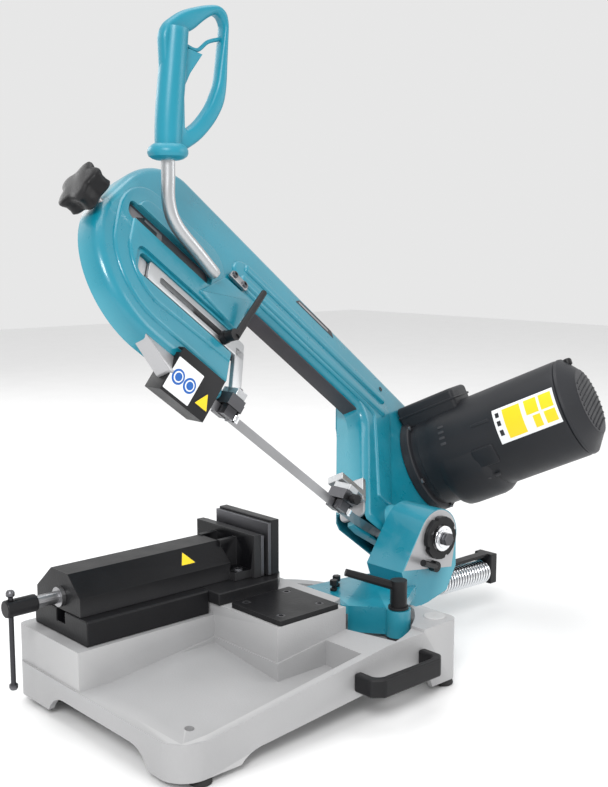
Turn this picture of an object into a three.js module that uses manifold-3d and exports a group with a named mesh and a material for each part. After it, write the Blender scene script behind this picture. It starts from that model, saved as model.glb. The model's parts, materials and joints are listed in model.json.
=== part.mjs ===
// Pull-down band saw for the workshop: a cast base with a screw vice, a swivel bracket for mitre
// cuts, and a saw bow that tilts about a pivot on the bracket and carries the blade and the motor.
// Millimetres, +Z up. X runs along the vice screw (hand bar at -X), Y runs to the back.
import * as THREE from 'three';
import { mergeVertices } from 'three/addons/utils/BufferGeometryUtils.js';
import Module from 'manifold-3d';

const wasm = await Module();
wasm.setup();

// ---------------------------------------------------------------- driving dimensions
const GAP = 0.3; // air between pieces that only touch
const DEG = Math.PI / 180;

const BASE = {
  left: -248, right: 222, front: -170, back: 190, bottom: 10, wall: 8, corner: 36, tight: 14 };
const FOOT = { x: 208, y: 156, radius: 14 };
const RIM = { low: 55, high: 90 }; // tray rim height at the left and at the right
const BLOCK_TOP = 105; // rear left block under the vice
const PEDESTAL = { left: -36, right: 104, front: -90, top: 121 };
const HORN_TOP = 94; // front right block of the base

const SWIVEL = { x: 62, y: 16 }; // vertical axis of the mitre swivel
const CHANNEL = { inner: 86, outer: 186, floor: 66 };
const PLATE = { bottom: 98, top: 110 }; // swivel bracket plate

const PIVOT = { x: 296.5, z: 172.7, face: -67, back: 3, radius: 13 }; // bow pivot axis, parallel to Y
const BOW_RAISED = 37.5; // degrees between blade and table as modelled
const BOW_LEAN = 32; // degrees that the wheel plane leans back about the blade
const BLADE = { y: 16, drop: 35, width: 13, thick: 0.9 };

const WHEEL = { radius: 100, width: 16, height: 115, drive: 32, idler: -520.5 };
const FRONT = 17; // front face of the bow casting, before its raised ridges
const RIDGE = 24;
const BEAM = { low: 205, back: -17 };
const LEG = { left: -80, back: -38, bottom: 4 };
const NOSE = { x: -545, z: 124, radius: 119, right: -410 };

const JAW = { face: 65, front: 40, back: 158, top: 217 };
const BED_TOP = 138;
const SCREW = { y: 110, z: 156 };

const TENSION = { y: -5.6, z: 152 };
const GEAR = { module: 4, pinion: 8, large: 22, small: 8, final: 21 };
// The motor stands where the two gear stages reach, up and out from the drive wheel.
const REACH = 53 * DEG;
const STAGE_2 = (GEAR.module * (GEAR.final + GEAR.small)) / 2;
const STAGE_1 = (GEAR.module * (GEAR.large + GEAR.pinion)) / 2;
const LAY = { x: WHEEL.drive + STAGE_2 * Math.cos(REACH), z: WHEEL.height + STAGE_2 * Math.sin(REACH) };
const MOTOR = {
  x: LAY.x + STAGE_1 * Math.cos(REACH), z: LAY.z + STAGE_1 * Math.sin(REACH),
  case: 84, flange: 82, radius: 79, far: 292, end: 317 };

const GUIDE_IDLE = -392; // blade guides, along the blade
const GUIDE_DRIVE = -132;

// ---------------------------------------------------------------- materials
function finish(color, roughness, metalness) {
  return new THREE.MeshStandardMaterial({ color, roughness, metalness });
}
const teal = finish(0x0f93ad, 0.35, 0.0);
const castGrey = finish(0xbcbcbd, 0.6, 0.0);
const blackPaint = finish(0x121214, 0.3, 0.1);
const blackPlastic = finish(0x1c1c1f, 0.5, 0.0);
const motorPlastic = finish(0x2b2b2f, 0.55, 0.0);
const coverGrey = finish(0x3f3d42, 0.5, 0.2);
const rubber = finish(0x161616, 0.9, 0.0);
const steel = finish(0x8b8d90, 0.35, 1.0);
const chrome = finish(0xd9dbde, 0.12, 1.0);
const aluminium = finish(0xc4c5c7, 0.4, 0.9);
const darkSteel = finish(0x2a2a2d, 0.4, 0.8);

// ---------------------------------------------------------------- solids
// A closed geometry becomes a manifold solid; only its positions are kept.
function solid(geometry) {
  const bare = geometry.index ? geometry.toNonIndexed() : geometry.clone();
  bare.deleteAttribute('normal');
  bare.deleteAttribute('uv');
  const merged = mergeVertices(bare, 1e-4);
  const vertProperties = new Float32Array(merged.attributes.position.array);
  const triVerts = new Uint32Array(merged.index.array);
  return new wasm.Manifold(new wasm.Mesh({ numProp: 3, vertProperties, triVerts }));
}

function mesh(name, body, material, parent) {
  const data = body.getMesh();
  const geometry = new THREE.BufferGeometry();
  geometry.setAttribute('position', new THREE.BufferAttribute(data.vertProperties, 3));
  geometry.setIndex(new THREE.BufferAttribute(data.triVerts, 1));
  geometry.computeVertexNormals();
  const node = new THREE.Mesh(geometry, material);
  node.name = name;
  parent.add(node);
  return node;
}

function box(x0, x1, y0, y1, z0, z1) {
  const geometry = new THREE.BoxGeometry(x1 - x0, y1 - y0, z1 - z0);
  geometry.translate((x0 + x1) / 2, (y0 + y1) / 2, (z0 + z1) / 2);
  return solid(geometry);
}

// Cylinder or cone between two points.
function rod(from, to, radius, sides = 16, radiusEnd = radius) {
  const a = new THREE.Vector3(...from);
  const b = new THREE.Vector3(...to);
  const geometry = new THREE.CylinderGeometry(radiusEnd, radius, a.distanceTo(b), sides);
  const turn = new THREE.Quaternion();
  turn.setFromUnitVectors(new THREE.Vector3(0, 1, 0), b.clone().sub(a).normalize());
  geometry.applyQuaternion(turn);
  const middle = a.add(b).multiplyScalar(0.5);
  geometry.translate(middle.x, middle.y, middle.z);
  return solid(geometry);
}

function outline(points) {
  return new THREE.Shape(points.map(([x, y]) => new THREE.Vector2(x, y)));
}

function rounded(x0, x1, y0, y1, radius) {
  const shape = new THREE.Shape();
  shape.moveTo(x0 + radius, y0);
  shape.lineTo(x1 - radius, y0);
  shape.absarc(x1 - radius, y0 + radius, radius, -Math.PI / 2, 0);
  shape.lineTo(x1, y1 - radius);
  shape.absarc(x1 - radius, y1 - radius, radius, 0, Math.PI / 2);
  shape.lineTo(x0 + radius, y1);
  shape.absarc(x0 + radius, y1 - radius, radius, Math.PI / 2, Math.PI);
  shape.lineTo(x0, y0 + radius);
  shape.absarc(x0 + radius, y0 + radius, radius, Math.PI, 1.5 * Math.PI);
  return shape;
}

function extruded(shape, depth, curveSegments) {
  return new THREE.ExtrudeGeometry(shape, { depth, bevelEnabled: false, curveSegments });
}

// Plan outline (x, y) raised from z0 to z1.
function plan(shape, z0, z1, curveSegments = 5) {
  const geometry = extruded(shape, z1 - z0, curveSegments);
  geometry.translate(0, 0, z0);
  return solid(geometry);
}

// Front outline (x, z) carried from y = -back to y = -front; front and back count towards -Y.
function slab(shape, back, front, curveSegments = 8) {
  const geometry = extruded(shape, front - back, curveSegments);
  geometry.translate(0, 0, back);
  geometry.rotateX(Math.PI / 2);
  return solid(geometry);
}

// The same with its front edge cut off at 45 degrees.
function edged(shape, back, front, edge) {
  const geometry = new THREE.ExtrudeGeometry(shape, {
    depth: front - back - 2 * edge, curveSegments: 6, bevelEnabled: true,
    bevelThickness: edge, bevelSize: edge, bevelOffset: -edge, bevelSegments: 1 });
  geometry.translate(0, 0, back + edge);
  geometry.rotateX(Math.PI / 2);
  return solid(geometry).add(slab(shape, back, (back + front) / 2, 6));
}

// End outline (y, z) carried from x0 to x1.
function bar(shape, x0, x1, curveSegments = 5) {
  const geometry = extruded(shape, x1 - x0, curveSegments);
  geometry.translate(0, 0, x0);
  const basis = new THREE.Matrix4().makeBasis(
    new THREE.Vector3(0, 1, 0), new THREE.Vector3(0, 0, 1), new THREE.Vector3(1, 0, 0));
  geometry.applyMatrix4(basis);
  return solid(geometry);
}

// Ring sector about the Z axis at (cx, cy), from angle a0 to a1 in degrees.
function sector(cx, cy, inner, outer, a0, a1, z0, z1) {
  const shape = new THREE.Shape();
  shape.absarc(cx, cy, outer, a0 * DEG, a1 * DEG, false);
  shape.absarc(cx, cy, inner, a1 * DEG, a0 * DEG, true);
  return plan(shape, z0, z1, 7);
}

function union(...bodies) {
  return bodies.reduce((sum, body) => sum.add(body));
}

function lathe(profile, sides = 20) {
  return new THREE.LatheGeometry(profile.map(([r, z]) => new THREE.Vector2(r, z)), sides);
}

// Solid of revolution whose own axis (profile height) points along a direction, from a point.
function turned(profile, at, direction, sides = 20) {
  const geometry = lathe(profile, sides);
  const turn = new THREE.Quaternion();
  turn.setFromUnitVectors(new THREE.Vector3(0, 1, 0), new THREE.Vector3(...direction).normalize());
  geometry.applyQuaternion(turn);
  geometry.translate(...at);
  return solid(geometry);
}

// Round bar swept along a smooth curve through points.
function swept(points, radius, steps, sides = 12) {
  const curve = new THREE.CatmullRomCurve3(points.map((p) => new THREE.Vector3(...p)), false, 'centripetal');
  const ring = new THREE.Shape();
  ring.absarc(0, 0, radius, 0, 2 * Math.PI);
  const geometry = new THREE.ExtrudeGeometry(ring, {
    steps, extrudePath: curve, curveSegments: sides / 2, bevelEnabled: false });
  return solid(geometry);
}

// ---------------------------------------------------------------- scene graph
const saw = new THREE.Group();
const swivel = new THREE.Group(); // turns about the mitre axis
swivel.position.set(SWIVEL.x, SWIVEL.y, 0);
const hinge = new THREE.Group(); // tilts about the pivot
hinge.position.set(PIVOT.x - SWIVEL.x, -SWIVEL.y, PIVOT.z);
hinge.rotation.y = BOW_RAISED * DEG;
const bow = new THREE.Group(); // origin on the cutting blade, wheel plane is XZ
bow.position.set(0, BLADE.y, -BLADE.drop);
bow.rotation.x = -BOW_LEAN * DEG;
saw.add(swivel);
swivel.add(hinge);
hinge.add(bow);

// ---------------------------------------------------------------- base
function trayFloor(y) {
  const reach = (y - BASE.front) / (BLOCK_TOP - BASE.front);
  return 42 + 34 * reach;
}

function footprintOutline(i) {
  const { left, right, front, back } = BASE;
  const big = BASE.corner - i / 2;
  const small = BASE.tight - i / 2;
  const shape = new THREE.Shape();
  shape.absarc(left + i + big, front + i + big, big, Math.PI, 1.5 * Math.PI);
  shape.absarc(right - i - small, front + i + small, small, -Math.PI / 2, 0);
  shape.absarc(right - i - small, back - i - small, small, 0, Math.PI / 2);
  shape.absarc(left + i + small, back - i - small, small, Math.PI / 2, Math.PI);
  return shape;
}

function baseBody(inset, drop) {
  const i = inset;
  const footprint = plan(footprintOutline(i), 0, 200, 4);
  const rim = slab(outline([
    [BASE.left, 0], [BASE.right, 0], [BASE.right, RIM.high - drop], [85, RIM.high - drop],
    [-199, RIM.low - drop], [BASE.left, RIM.low - drop]]), -BASE.back, -BASE.front);
  const rear = box(BASE.left + 3 + i, -30, 40 + i, BASE.back - i, 0, BLOCK_TOP - drop);
  const pedestal = box(PEDESTAL.left + i, PEDESTAL.right - i, PEDESTAL.front + i, BASE.back - i,
    0, PEDESTAL.top - drop);
  const horn = box(152 + i, BASE.right, BASE.front, -100 - i, 0, HORN_TOP - drop);
  return union(rim, rear, pedestal, horn).intersect(footprint);
}

function tray(lower) {
  const floor = outline([
    [-158 - lower, trayFloor(-158) - lower], [36, trayFloor(36) - lower], [36, 160], [-158 - lower, 160]]);
  const left = bar(floor, BASE.left + 13 - lower, PEDESTAL.left - 2 + lower);
  const right = bar(outline([[-158 - lower, trayFloor(-158) - lower], [-93, trayFloor(-93) - lower],
    [-93, 160], [-158 - lower, 160]]), PEDESTAL.left - 3, 46);
  return union(left, right);
}

// Opening between two feet: its ends curve up from the ground to the heights h0 and h1.
function archShape(a0, a1, h0, h1, reach) {
  const shape = new THREE.Shape();
  shape.moveTo(a0, 0);
  shape.lineTo(a0, BASE.bottom);
  shape.quadraticCurveTo(a0 + reach / 3, h0, a0 + reach, h0);
  shape.lineTo(a1 - reach, h1);
  shape.quadraticCurveTo(a1 - reach / 3, h1, a1, BASE.bottom);
  shape.lineTo(a1, 0);
  return shape;
}

function makeBase() {
  const outer = baseBody(0, 0);
  const channel = sector(SWIVEL.x, SWIVEL.y, CHANNEL.inner, CHANNEL.outer, -78, 5, CHANNEL.floor, 200);
  const sweep = sector(SWIVEL.x, SWIVEL.y, CHANNEL.inner, 150, 0, 95, 80, 200);
  const ledge = sector(SWIVEL.x, SWIVEL.y, 150, 330, -30, 75, 62, 200);
  const pocket = rod([SWIVEL.x, SWIVEL.y, PLATE.bottom - 1], [SWIVEL.x, SWIVEL.y, PLATE.top + 1],
    CHANNEL.inner + 4, 16);
  const slot = box(SWIVEL.x, PEDESTAL.right + 1, SWIVEL.y - 100, SWIVEL.y + 100, PLATE.bottom - 1,
    PLATE.top + 1).intersect(pocket);
  const cavity = baseBody(BASE.wall, BASE.wall + 2)
    .subtract(sector(SWIVEL.x, SWIVEL.y, CHANNEL.inner - 6, CHANNEL.outer + 6, -84, 8, 58, 200))
    .subtract(sector(SWIVEL.x, SWIVEL.y, CHANNEL.inner - 6, 158, -6, 100, 72, 200))
    .subtract(sector(SWIVEL.x, SWIVEL.y, 0, 330, -36, 80, 54, 200))
    .subtract(box(BASE.left, PEDESTAL.left + 8, -170, 44, 36, 200))
    .subtract(box(PEDESTAL.left - 1, 60, -170, -84, 36, 200));
  const pinHole = rod([SWIVEL.x, SWIVEL.y, 60], [SWIVEL.x, SWIVEL.y, PEDESTAL.top + 1], 12 + GAP, 20);
  let body = outer.subtract(tray(0)).subtract(channel).subtract(sweep).subtract(ledge)
    .subtract(slot).subtract(cavity).subtract(pinHole)
    .subtract(slab(archShape(-160, 170, 24, 44, 40), -220, 220, 5))
    .subtract(bar(archShape(-112, 112, 33, 33, 38), -300, 300, 5));
  const ring = sector(SWIVEL.x, SWIVEL.y, 122, 140, 10, 90, 79, 95);
  body = body.add(ring);
  for (const y of [-FOOT.y, FOOT.y]) {
    for (const x of [-FOOT.x, FOOT.x]) {
      const high = x < 0 && y > 0 ? BLOCK_TOP - 5 : 46;
      const boss = rod([x, y, BASE.bottom + 1], [x, y, high], 11, 12);
      const bolt = rod([x, y, 0], [x, y, 38], 5.5, 12);
      body = body.add(boss).subtract(bolt);
    }
  }
  const drain = rod([-196, -120, 0], [-196, -120, 80], 6, 16);
  body = body.subtract(drain).subtract(box(-400, 400, -400, 400, -50, BASE.bottom));
  mesh('base_casting', body, castGrey, saw);
}

function makeFeet() {
  const names = [['front_left', -1, -1], ['front_right', 1, -1], ['rear_left', -1, 1], ['rear_right', 1, 1]];
  for (const [label, sx, sy] of names) {
    const profile = [[0, 0], [FOOT.radius - 2, 0], [FOOT.radius, 2], [FOOT.radius - 2, BASE.bottom - GAP],
      [5, BASE.bottom - GAP], [5, 34], [0, 34]];
    const foot = turned(profile, [0, 0, 0], [0, 0, 1], 16);
    const node = mesh(`foot_${label}`, foot, rubber, saw);
    node.position.set(sx * FOOT.x, sy * FOOT.y, 0);
  }
}

function makeCarryHandle() {
  const y0 = BASE.front - GAP;
  const rail = plan(outline([[20, y0 - 30], [34, y0 - 42], [137, y0 - 42], [151, y0 - 30], [151, y0],
    [139, y0], [139, y0 - 24], [132, y0 - 30], [39, y0 - 30], [32, y0 - 24], [32, y0], [20, y0]]), 46, 70);
  mesh('carry_handle', rail, blackPlastic, saw);
}

function makeTable() {
  const plate = plan(rounded(-31, 72, -90, 10, 3), PEDESTAL.top + GAP, 128, 3);
  let body = plate;
  for (const [x, y] of [[-14, -72], [55, -70], [-14, -2], [55, -4]]) {
    const screwHole = turned([[0, 118], [3.2, 118], [3.2, 124.5], [6.5, 128.5], [0, 128.5]], [x, y, 0],
      [0, 0, 1], 16);
    body = body.subtract(screwHole);
  }
  mesh('table_plate', body, blackPaint, saw);
  const bed = plan(outline([[-40, 24], [64, 24], [88, 48], [88, 176], [-40, 176]]),
    PEDESTAL.top + GAP, BED_TOP);
  mesh('vice_bed', bed, blackPaint, saw);
}

// ---------------------------------------------------------------- vice
const TUNNEL = [[64, 0], [64, 24], [93, 50], [135, 50], [173, 18], [173, 0]];
const JAW_BACK = 38;

function tunnelShape(inset) {
  const middle = 118;
  return outline(TUNNEL.map(([y, z]) => {
    const pull = (y < middle ? 1 : -1) * inset;
    return [y + pull, BED_TOP + GAP + (z === 0 ? 0 : z - inset)];
  }));
}

function makeVice() {
  const way = bar(rounded(46, 176, BLOCK_TOP + GAP, BED_TOP, 3), -228, -40 - GAP, 3)
    .subtract(box(-300, -30, 100, 120, 122, 150));
  mesh('vice_slideway', way, blackPaint, saw);

  const jawBody = box(JAW.face + 1, JAW.face + 15, JAW.front, JAW.back, BED_TOP + GAP, JAW.top);
  const rib = slab(outline([[JAW.face + 14, BED_TOP + GAP], [87, BED_TOP + GAP], [JAW.face + 14, 185]]),
    -128, -70);
  mesh('fixed_jaw', jawBody.add(rib), blackPaint, saw);
  const faceFixed = box(JAW.face - 5, JAW.face + 1 - GAP, JAW.front, JAW.back, BED_TOP + 1, JAW.top - 3);
  mesh('fixed_jaw_face', faceFixed, darkSteel, saw);

  let tunnel = bar(tunnelShape(0), -226, -6);
  const hollow = bar(tunnelShape(7), -218, 10);
  tunnel = tunnel.subtract(hollow).subtract(rod([-230, SCREW.y, SCREW.z], [-210, SCREW.y, SCREW.z], 9, 16));
  const plate = box(JAW_BACK, JAW_BACK + 12, 44, 176, BED_TOP + GAP, 199);
  const neck = bar(tunnelShape(0), -8, 12).subtract(bar(tunnelShape(7), -20, 13));
  const flare = box(10, JAW_BACK + 1, 52, 168, BED_TOP + GAP, 150)
    .add(box(10, JAW_BACK + 1, 84, 92, 148, 190)).add(box(10, JAW_BACK + 1, 128, 136, 148, 190));
  const boss = rod([8, SCREW.y, SCREW.z], [JAW_BACK + 1, SCREW.y, SCREW.z], 15, 20);
  const screwEnd = rod([4, SCREW.y, SCREW.z], [26, SCREW.y, SCREW.z], 8.5, 20);
  mesh('moving_jaw', union(tunnel, neck, flare, plate, boss).subtract(screwEnd), blackPaint, saw);
  const faceMoving = box(JAW_BACK + 12 + GAP, JAW_BACK + 18, 44, 176, BED_TOP + 1, 197);
  mesh('moving_jaw_face', faceMoving, darkSteel, saw);

  const screw = rod([-262, SCREW.y, SCREW.z], [24, SCREW.y, SCREW.z], 8, 20)
    .add(rod([-232, SCREW.y, SCREW.z], [-226.3, SCREW.y, SCREW.z], 13, 16));
  mesh('vice_screw', screw, steel, saw);
  const hub = rod([-304, SCREW.y, SCREW.z], [-262 - GAP, SCREW.y, SCREW.z], 11, 16)
    .subtract(rod([-296, SCREW.y, SCREW.z - 20], [-296, SCREW.y, SCREW.z + 20], 3.6, 16));
  mesh('screw_hub', hub, blackPaint, saw);
  const end = [[0, 0], [4, 0.5], [5.5, 3], [5.5, 7], [3, 9], [0, 9]];
  const tommy = rod([-296, SCREW.y, 56], [-296, SCREW.y, 175], 3.2, 12)
    .add(turned(end, [-296, SCREW.y, 51], [0, 0, 1], 16))
    .add(turned(end, [-296, SCREW.y, 179], [0, 0, -1], 16));
  mesh('tommy_bar', tommy, darkSteel, saw);
}

makeBase();
makeFeet();
makeCarryHandle();
makeTable();
makeVice();

// ---------------------------------------------------------------- swivel bracket
const CLAMP = { x: 155, y: -120, radius: 17 };

// A body drawn at its place on the base, taken into the swivel group.
function shifted(body) {
  return body.translate([-SWIVEL.x, -SWIVEL.y, 0]);
}

function makeBracket() {
  const disc = rod([SWIVEL.x, SWIVEL.y, PLATE.bottom], [SWIVEL.x, SWIVEL.y, PLATE.top],
    CHANNEL.inner - 24, 40);
  const arm = plan(outline([[90, -20], [115, -70], [128, -84], [168, -112], [250, -67], [285, -67],
    [285, 3], [215, 24], [132, 34], [90, 40]]), PLATE.bottom, PLATE.top);
  const skirt = plan(outline([[112, -66], [121, -60], [150, -92], [166, -112], [158, -118], [144, -108]]),
    73, PLATE.top);
  const column = rod([CLAMP.x, CLAMP.y, 73], [CLAMP.x, CLAMP.y, PLATE.top], CLAMP.radius, 16);
  const web = plan(outline([[158, -118], [175, -112], [250, -67], [250, -45], [150, -80]]), 96, PLATE.top);
  const tower = new THREE.Shape();
  tower.moveTo(232, 100);
  tower.lineTo(241, 74);
  tower.lineTo(277, 78);
  tower.lineTo(318, 88);
  tower.lineTo(338, 122);
  tower.absarc(PIVOT.x, PIVOT.z, 42, -14 * DEG, 152 * DEG, false);
  tower.lineTo(219, 134);
  const towerBody = slab(tower, -PIVOT.back, -PIVOT.face);
  const bore = rod([PIVOT.x, -90, PIVOT.z], [PIVOT.x, 30, PIVOT.z], PIVOT.radius + GAP, 20);
  const studHole = rod([CLAMP.x, CLAMP.y, 60], [CLAMP.x, CLAMP.y, 120], 5 + GAP, 16);
  const pinHole = rod([SWIVEL.x, SWIVEL.y, 90], [SWIVEL.x, SWIVEL.y, 115], 12 + GAP, 20);
  let body = union(disc, arm, skirt, column, web, towerBody).subtract(bore).subtract(studHole)
    .subtract(pinHole);
  for (const [x, y] of [[143, -6], [160, 6]]) {
    body = body.subtract(rod([x, y, 95], [x, y, 112], 3 + GAP, 12));
  }
  mesh('swivel_bracket', shifted(body), teal, swivel);

  const pin = rod([SWIVEL.x, SWIVEL.y, 72], [SWIVEL.x, SWIVEL.y, 120.5], 12, 20);
  mesh('swivel_pin', pin, steel, saw);

  const names = ['front', 'rear'];
  [[143, -6], [160, 6]].forEach(([x, y], index) => {
    const screw = rod([x, y, 99], [x, y, 119], 3, 12).add(rod([x, y, 118], [x, y, 126], 6, 6))
      .add(rod([x, y, 110.3], [x, y, 114], 5.5, 6));
    mesh(`stop_screw_${names[index]}`, shifted(screw), blackPaint, swivel);
  });
}

function makeMitreClamp() {
  const stud = rod([CLAMP.x, CLAMP.y, 68], [CLAMP.x, CLAMP.y, 128], 5, 16)
    .add(rod([CLAMP.x, CLAMP.y, CHANNEL.floor + GAP], [CLAMP.x, CLAMP.y, 72], 16, 6));
  mesh('clamp_stud', shifted(stud), darkSteel, swivel);
  const hub = rod([CLAMP.x, CLAMP.y, PLATE.top + GAP], [CLAMP.x, CLAMP.y, 150], 11.5, 16)
    .add(rod([CLAMP.x, CLAMP.y, PLATE.top + GAP], [CLAMP.x, CLAMP.y, 114], 14, 16))
    .add(rod([CLAMP.x, CLAMP.y, 140], [96, -77, 163], 6.5, 12, 5));
  const socket = rod([CLAMP.x, CLAMP.y, 100], [CLAMP.x, CLAMP.y, 128 + GAP], 5 + GAP, 16);
  mesh('mitre_clamp_lever', shifted(hub.subtract(socket)), blackPlastic, swivel);
}

function makePivot() {
  const face = PIVOT.face - SWIVEL.y;
  const x = PIVOT.x - SWIVEL.x;
  const ring = rod([x, face - GAP, PIVOT.z], [x, face - 8, PIVOT.z], 32, 20)
    .subtract(rod([x, face + 5, PIVOT.z], [x, face - 10, PIVOT.z], 20, 20));
  let slotted = ring;
  for (const turn of [20, 110, 200, 290]) {
    const dx = Math.cos(turn * DEG) * 32;
    const dz = Math.sin(turn * DEG) * 32;
    const notch = rod([x + dx, face + 2, PIVOT.z + dz], [x + dx, face - 12, PIVOT.z + dz], 3.5, 8);
    slotted = slotted.subtract(notch);
  }
  mesh('ring_nut', slotted, blackPaint, swivel);

  const latchAt = [x - 12, face - GAP, PIVOT.z - 41];
  const latch = rod(latchAt, [latchAt[0], face - 10, latchAt[2]], 8, 16)
    .add(rod([latchAt[0], face - 7, latchAt[2]], [latchAt[0] - 38, face - 16, latchAt[2] + 15], 4, 12, 5));
  mesh('latch_lever', latch, blackPlastic, swivel);
}

// The spring between the lug of the bow and the bracket: a tube with the coil's outer size.
function makeBalance() {
  const y = -20 - SWIVEL.y;
  const x = -SWIVEL.x;
  const coil = rod([x + 352, y, 79], [x + 462, y, 76], 19, 16)
    .subtract(rod([x + 340, y, 79.3], [x + 480, y, 75.5], 14, 16));
  mesh('balance_spring', coil, chrome, swivel);
  const strap = box(x + 339, x + 478, y - 9, y + 9, 101, 106)
    .add(box(x + 462.6, x + 478, y - 17, y + 17, 58, 106));
  mesh('spring_bracket', strap, blackPaint, swivel);
}

makeBracket();
makeMitreClamp();
makePivot();
makeBalance();

// ---------------------------------------------------------------- saw bow
// Pivot axis inside the bow frame: a point on it and its direction (the hinge frame's Y axis).
const LEAN = BOW_LEAN * DEG;
const AXIS = [0, Math.cos(LEAN), Math.sin(LEAN)];

function onPivot(y) {
  const a = y - BLADE.y;
  const b = BLADE.drop;
  return [0, a * Math.cos(LEAN) - b * Math.sin(LEAN), a * Math.sin(LEAN) + b * Math.cos(LEAN)];
}

function bowOutline(inset) {
  const shape = new THREE.Shape();
  const i = inset;
  shape.moveTo(NOSE.right - i, LEG.bottom + 2 + i);
  shape.lineTo(-404 - i, 110);
  shape.quadraticCurveTo(-392 - i, 196 + i, -345, BEAM.low + i);
  shape.lineTo(LEG.left - 24, BEAM.low + i);
  shape.quadraticCurveTo(LEG.left + i, BEAM.low + i, LEG.left + i, BEAM.low - 30);
  shape.lineTo(LEG.left + i, LEG.bottom + 8 + i);
  shape.lineTo(LEG.left + 8 + i, LEG.bottom + i);
  shape.lineTo(WHEEL.drive, LEG.bottom + i);
  shape.absarc(WHEEL.drive, WHEEL.height, WHEEL.height - LEG.bottom - i, -Math.PI / 2, 32 * DEG, false);
  shape.quadraticCurveTo(122 - i, 240, 84 - i, 296 - i);
  shape.lineTo(64 - i, 305 - i);
  shape.lineTo(-535, 318 - i);
  shape.quadraticCurveTo(-596 + i, 306 - i, -632 + i, 226);
  const reach = NOSE.radius - i;
  shape.lineTo(NOSE.x - reach * Math.cos(20 * DEG), NOSE.z + reach * Math.sin(20 * DEG));
  shape.absarc(NOSE.x, NOSE.z, reach, 160 * DEG, 270 * DEG, false);
  return shape;
}

function gearCase(inset) {
  const ring = new THREE.Shape();
  ring.absarc(MOTOR.x, MOTOR.z, MOTOR.case - inset, 0, 2 * Math.PI);
  return ring;
}

function makeCasting() {
  const outer = edged(bowOutline(0), LEG.back, FRONT, 9).add(slab(gearCase(0), LEG.back, FRONT, 8));
  const inner = edged(bowOutline(5), LEG.back - 5, FRONT - 5, 7)
    .add(slab(gearCase(5), LEG.back - 5, FRONT - 5, 8));
  // The beam and the idler end are shallower than the drive end.
  const shallow = box(-700, LEG.left - GAP, -BEAM.back, 80, -50, 400);
  const ridge = slab(ridgeOutline(), FRONT - 1, RIDGE, 8);
  const frontPad = slab(outline([[-490, 128], [-440, 196], [-384, 196], [-408, 122]]), FRONT - 1, RIDGE + 1);
  const [px, py, pz] = onPivot(PIVOT.back + GAP);
  const boss = rod([px, py, pz], [px, py + 52 * AXIS[1], pz + 52 * AXIS[2]], 31, 20)
    .intersect(box(-60, 60, -200, -(FRONT - 5), -60, 120));
  const bearing = rod([WHEEL.drive, -13, WHEEL.height], [WHEEL.drive, -9.6, WHEEL.height], 18, 16)
    .subtract(rod([WHEEL.drive, -12, WHEEL.height], [WHEEL.drive, -5, WHEEL.height], 11 + GAP, 16));
  let body = outer.subtract(inner).subtract(shallow);
  body = union(body, ridge, frontPad, boss, bearing);
  // Blade windows under both wheels, tension slot, guide bar slot, tension screw and motor shaft.
  body = body
    .subtract(box(-508, NOSE.right + 12, -13, 34, -10, 14))
    .subtract(box(LEG.left - 5, 12, -11, 34, -10, 26))
    .subtract(slab(rounded(-622, -466, 166, 186, 9), 0, 60, 6))
    .subtract(slab(rounded(-592, -380, 82, 102, 6), 0, 60, 4))
    .subtract(rod([-700, TENSION.y, TENSION.z], [-638, TENSION.y, TENSION.z], 6 + GAP, 16))
    .subtract(rod([MOTOR.x, -60, MOTOR.z], [MOTOR.x, 0, MOTOR.z], 14, 16));
  const [bx, by, bz] = onPivot(PIVOT.back - 30);
  const depth = 41.3;
  body = body.subtract(rod([bx, by, bz], [bx, by + depth * AXIS[1], bz + depth * AXIS[2]],
    PIVOT.radius + GAP, 20));
  mesh('bow_casting', body, teal, bow);
}

function ridgeOutline() {
  const shape = new THREE.Shape();
  shape.moveTo(-470, 262);
  shape.lineTo(-20, 254);
  shape.quadraticCurveTo(-8, 250, -8, 232);
  shape.lineTo(-14, 60);
  shape.lineTo(-50, 60);
  shape.lineTo(-56, 190);
  shape.quadraticCurveTo(-60, 218, -88, 219);
  shape.lineTo(-470, 222);
  return shape;
}

function makeCovers() {
  const beamCover = slab(outline([[-372, BEAM.low + 6], [LEG.left - 2, BEAM.low + 6],
    [LEG.left - 2, 300], [-372, 304]]), BEAM.back - 3, BEAM.back - GAP);
  const noseCover = slab(bowOutline(4), BEAM.back - 3, BEAM.back - GAP, 6)
    .subtract(box(-372, 400, -100, 100, -50, 400));
  const body = union(beamCover, noseCover)
    .add(box(-374, -370, -BEAM.back + GAP, -BEAM.back + 3, BEAM.low + 7, 300));
  mesh('bow_rear_cover', body, coverGrey, bow);
  const plate = slab(bowOutline(3), LEG.back - 3, LEG.back - GAP, 6)
    .add(slab(gearCase(3), LEG.back - 3, LEG.back - GAP, 16))
    .intersect(box(LEG.left, 400, -100, 100, -50, 400));
  const socket = rod([WHEEL.drive, 34.6, WHEEL.height], [WHEEL.drive, 39, WHEEL.height], 17, 16)
    .subtract(rod([WHEEL.drive, 30, WHEEL.height], [WHEEL.drive, 38.3, WHEEL.height], 11 + GAP, 16));
  const pin = rod([LAY.x, 11.5, LAY.z], [LAY.x, 39, LAY.z], 5, 16);
  mesh('drive_rear_cover', union(plate, socket, pin), coverGrey, bow);
}

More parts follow.
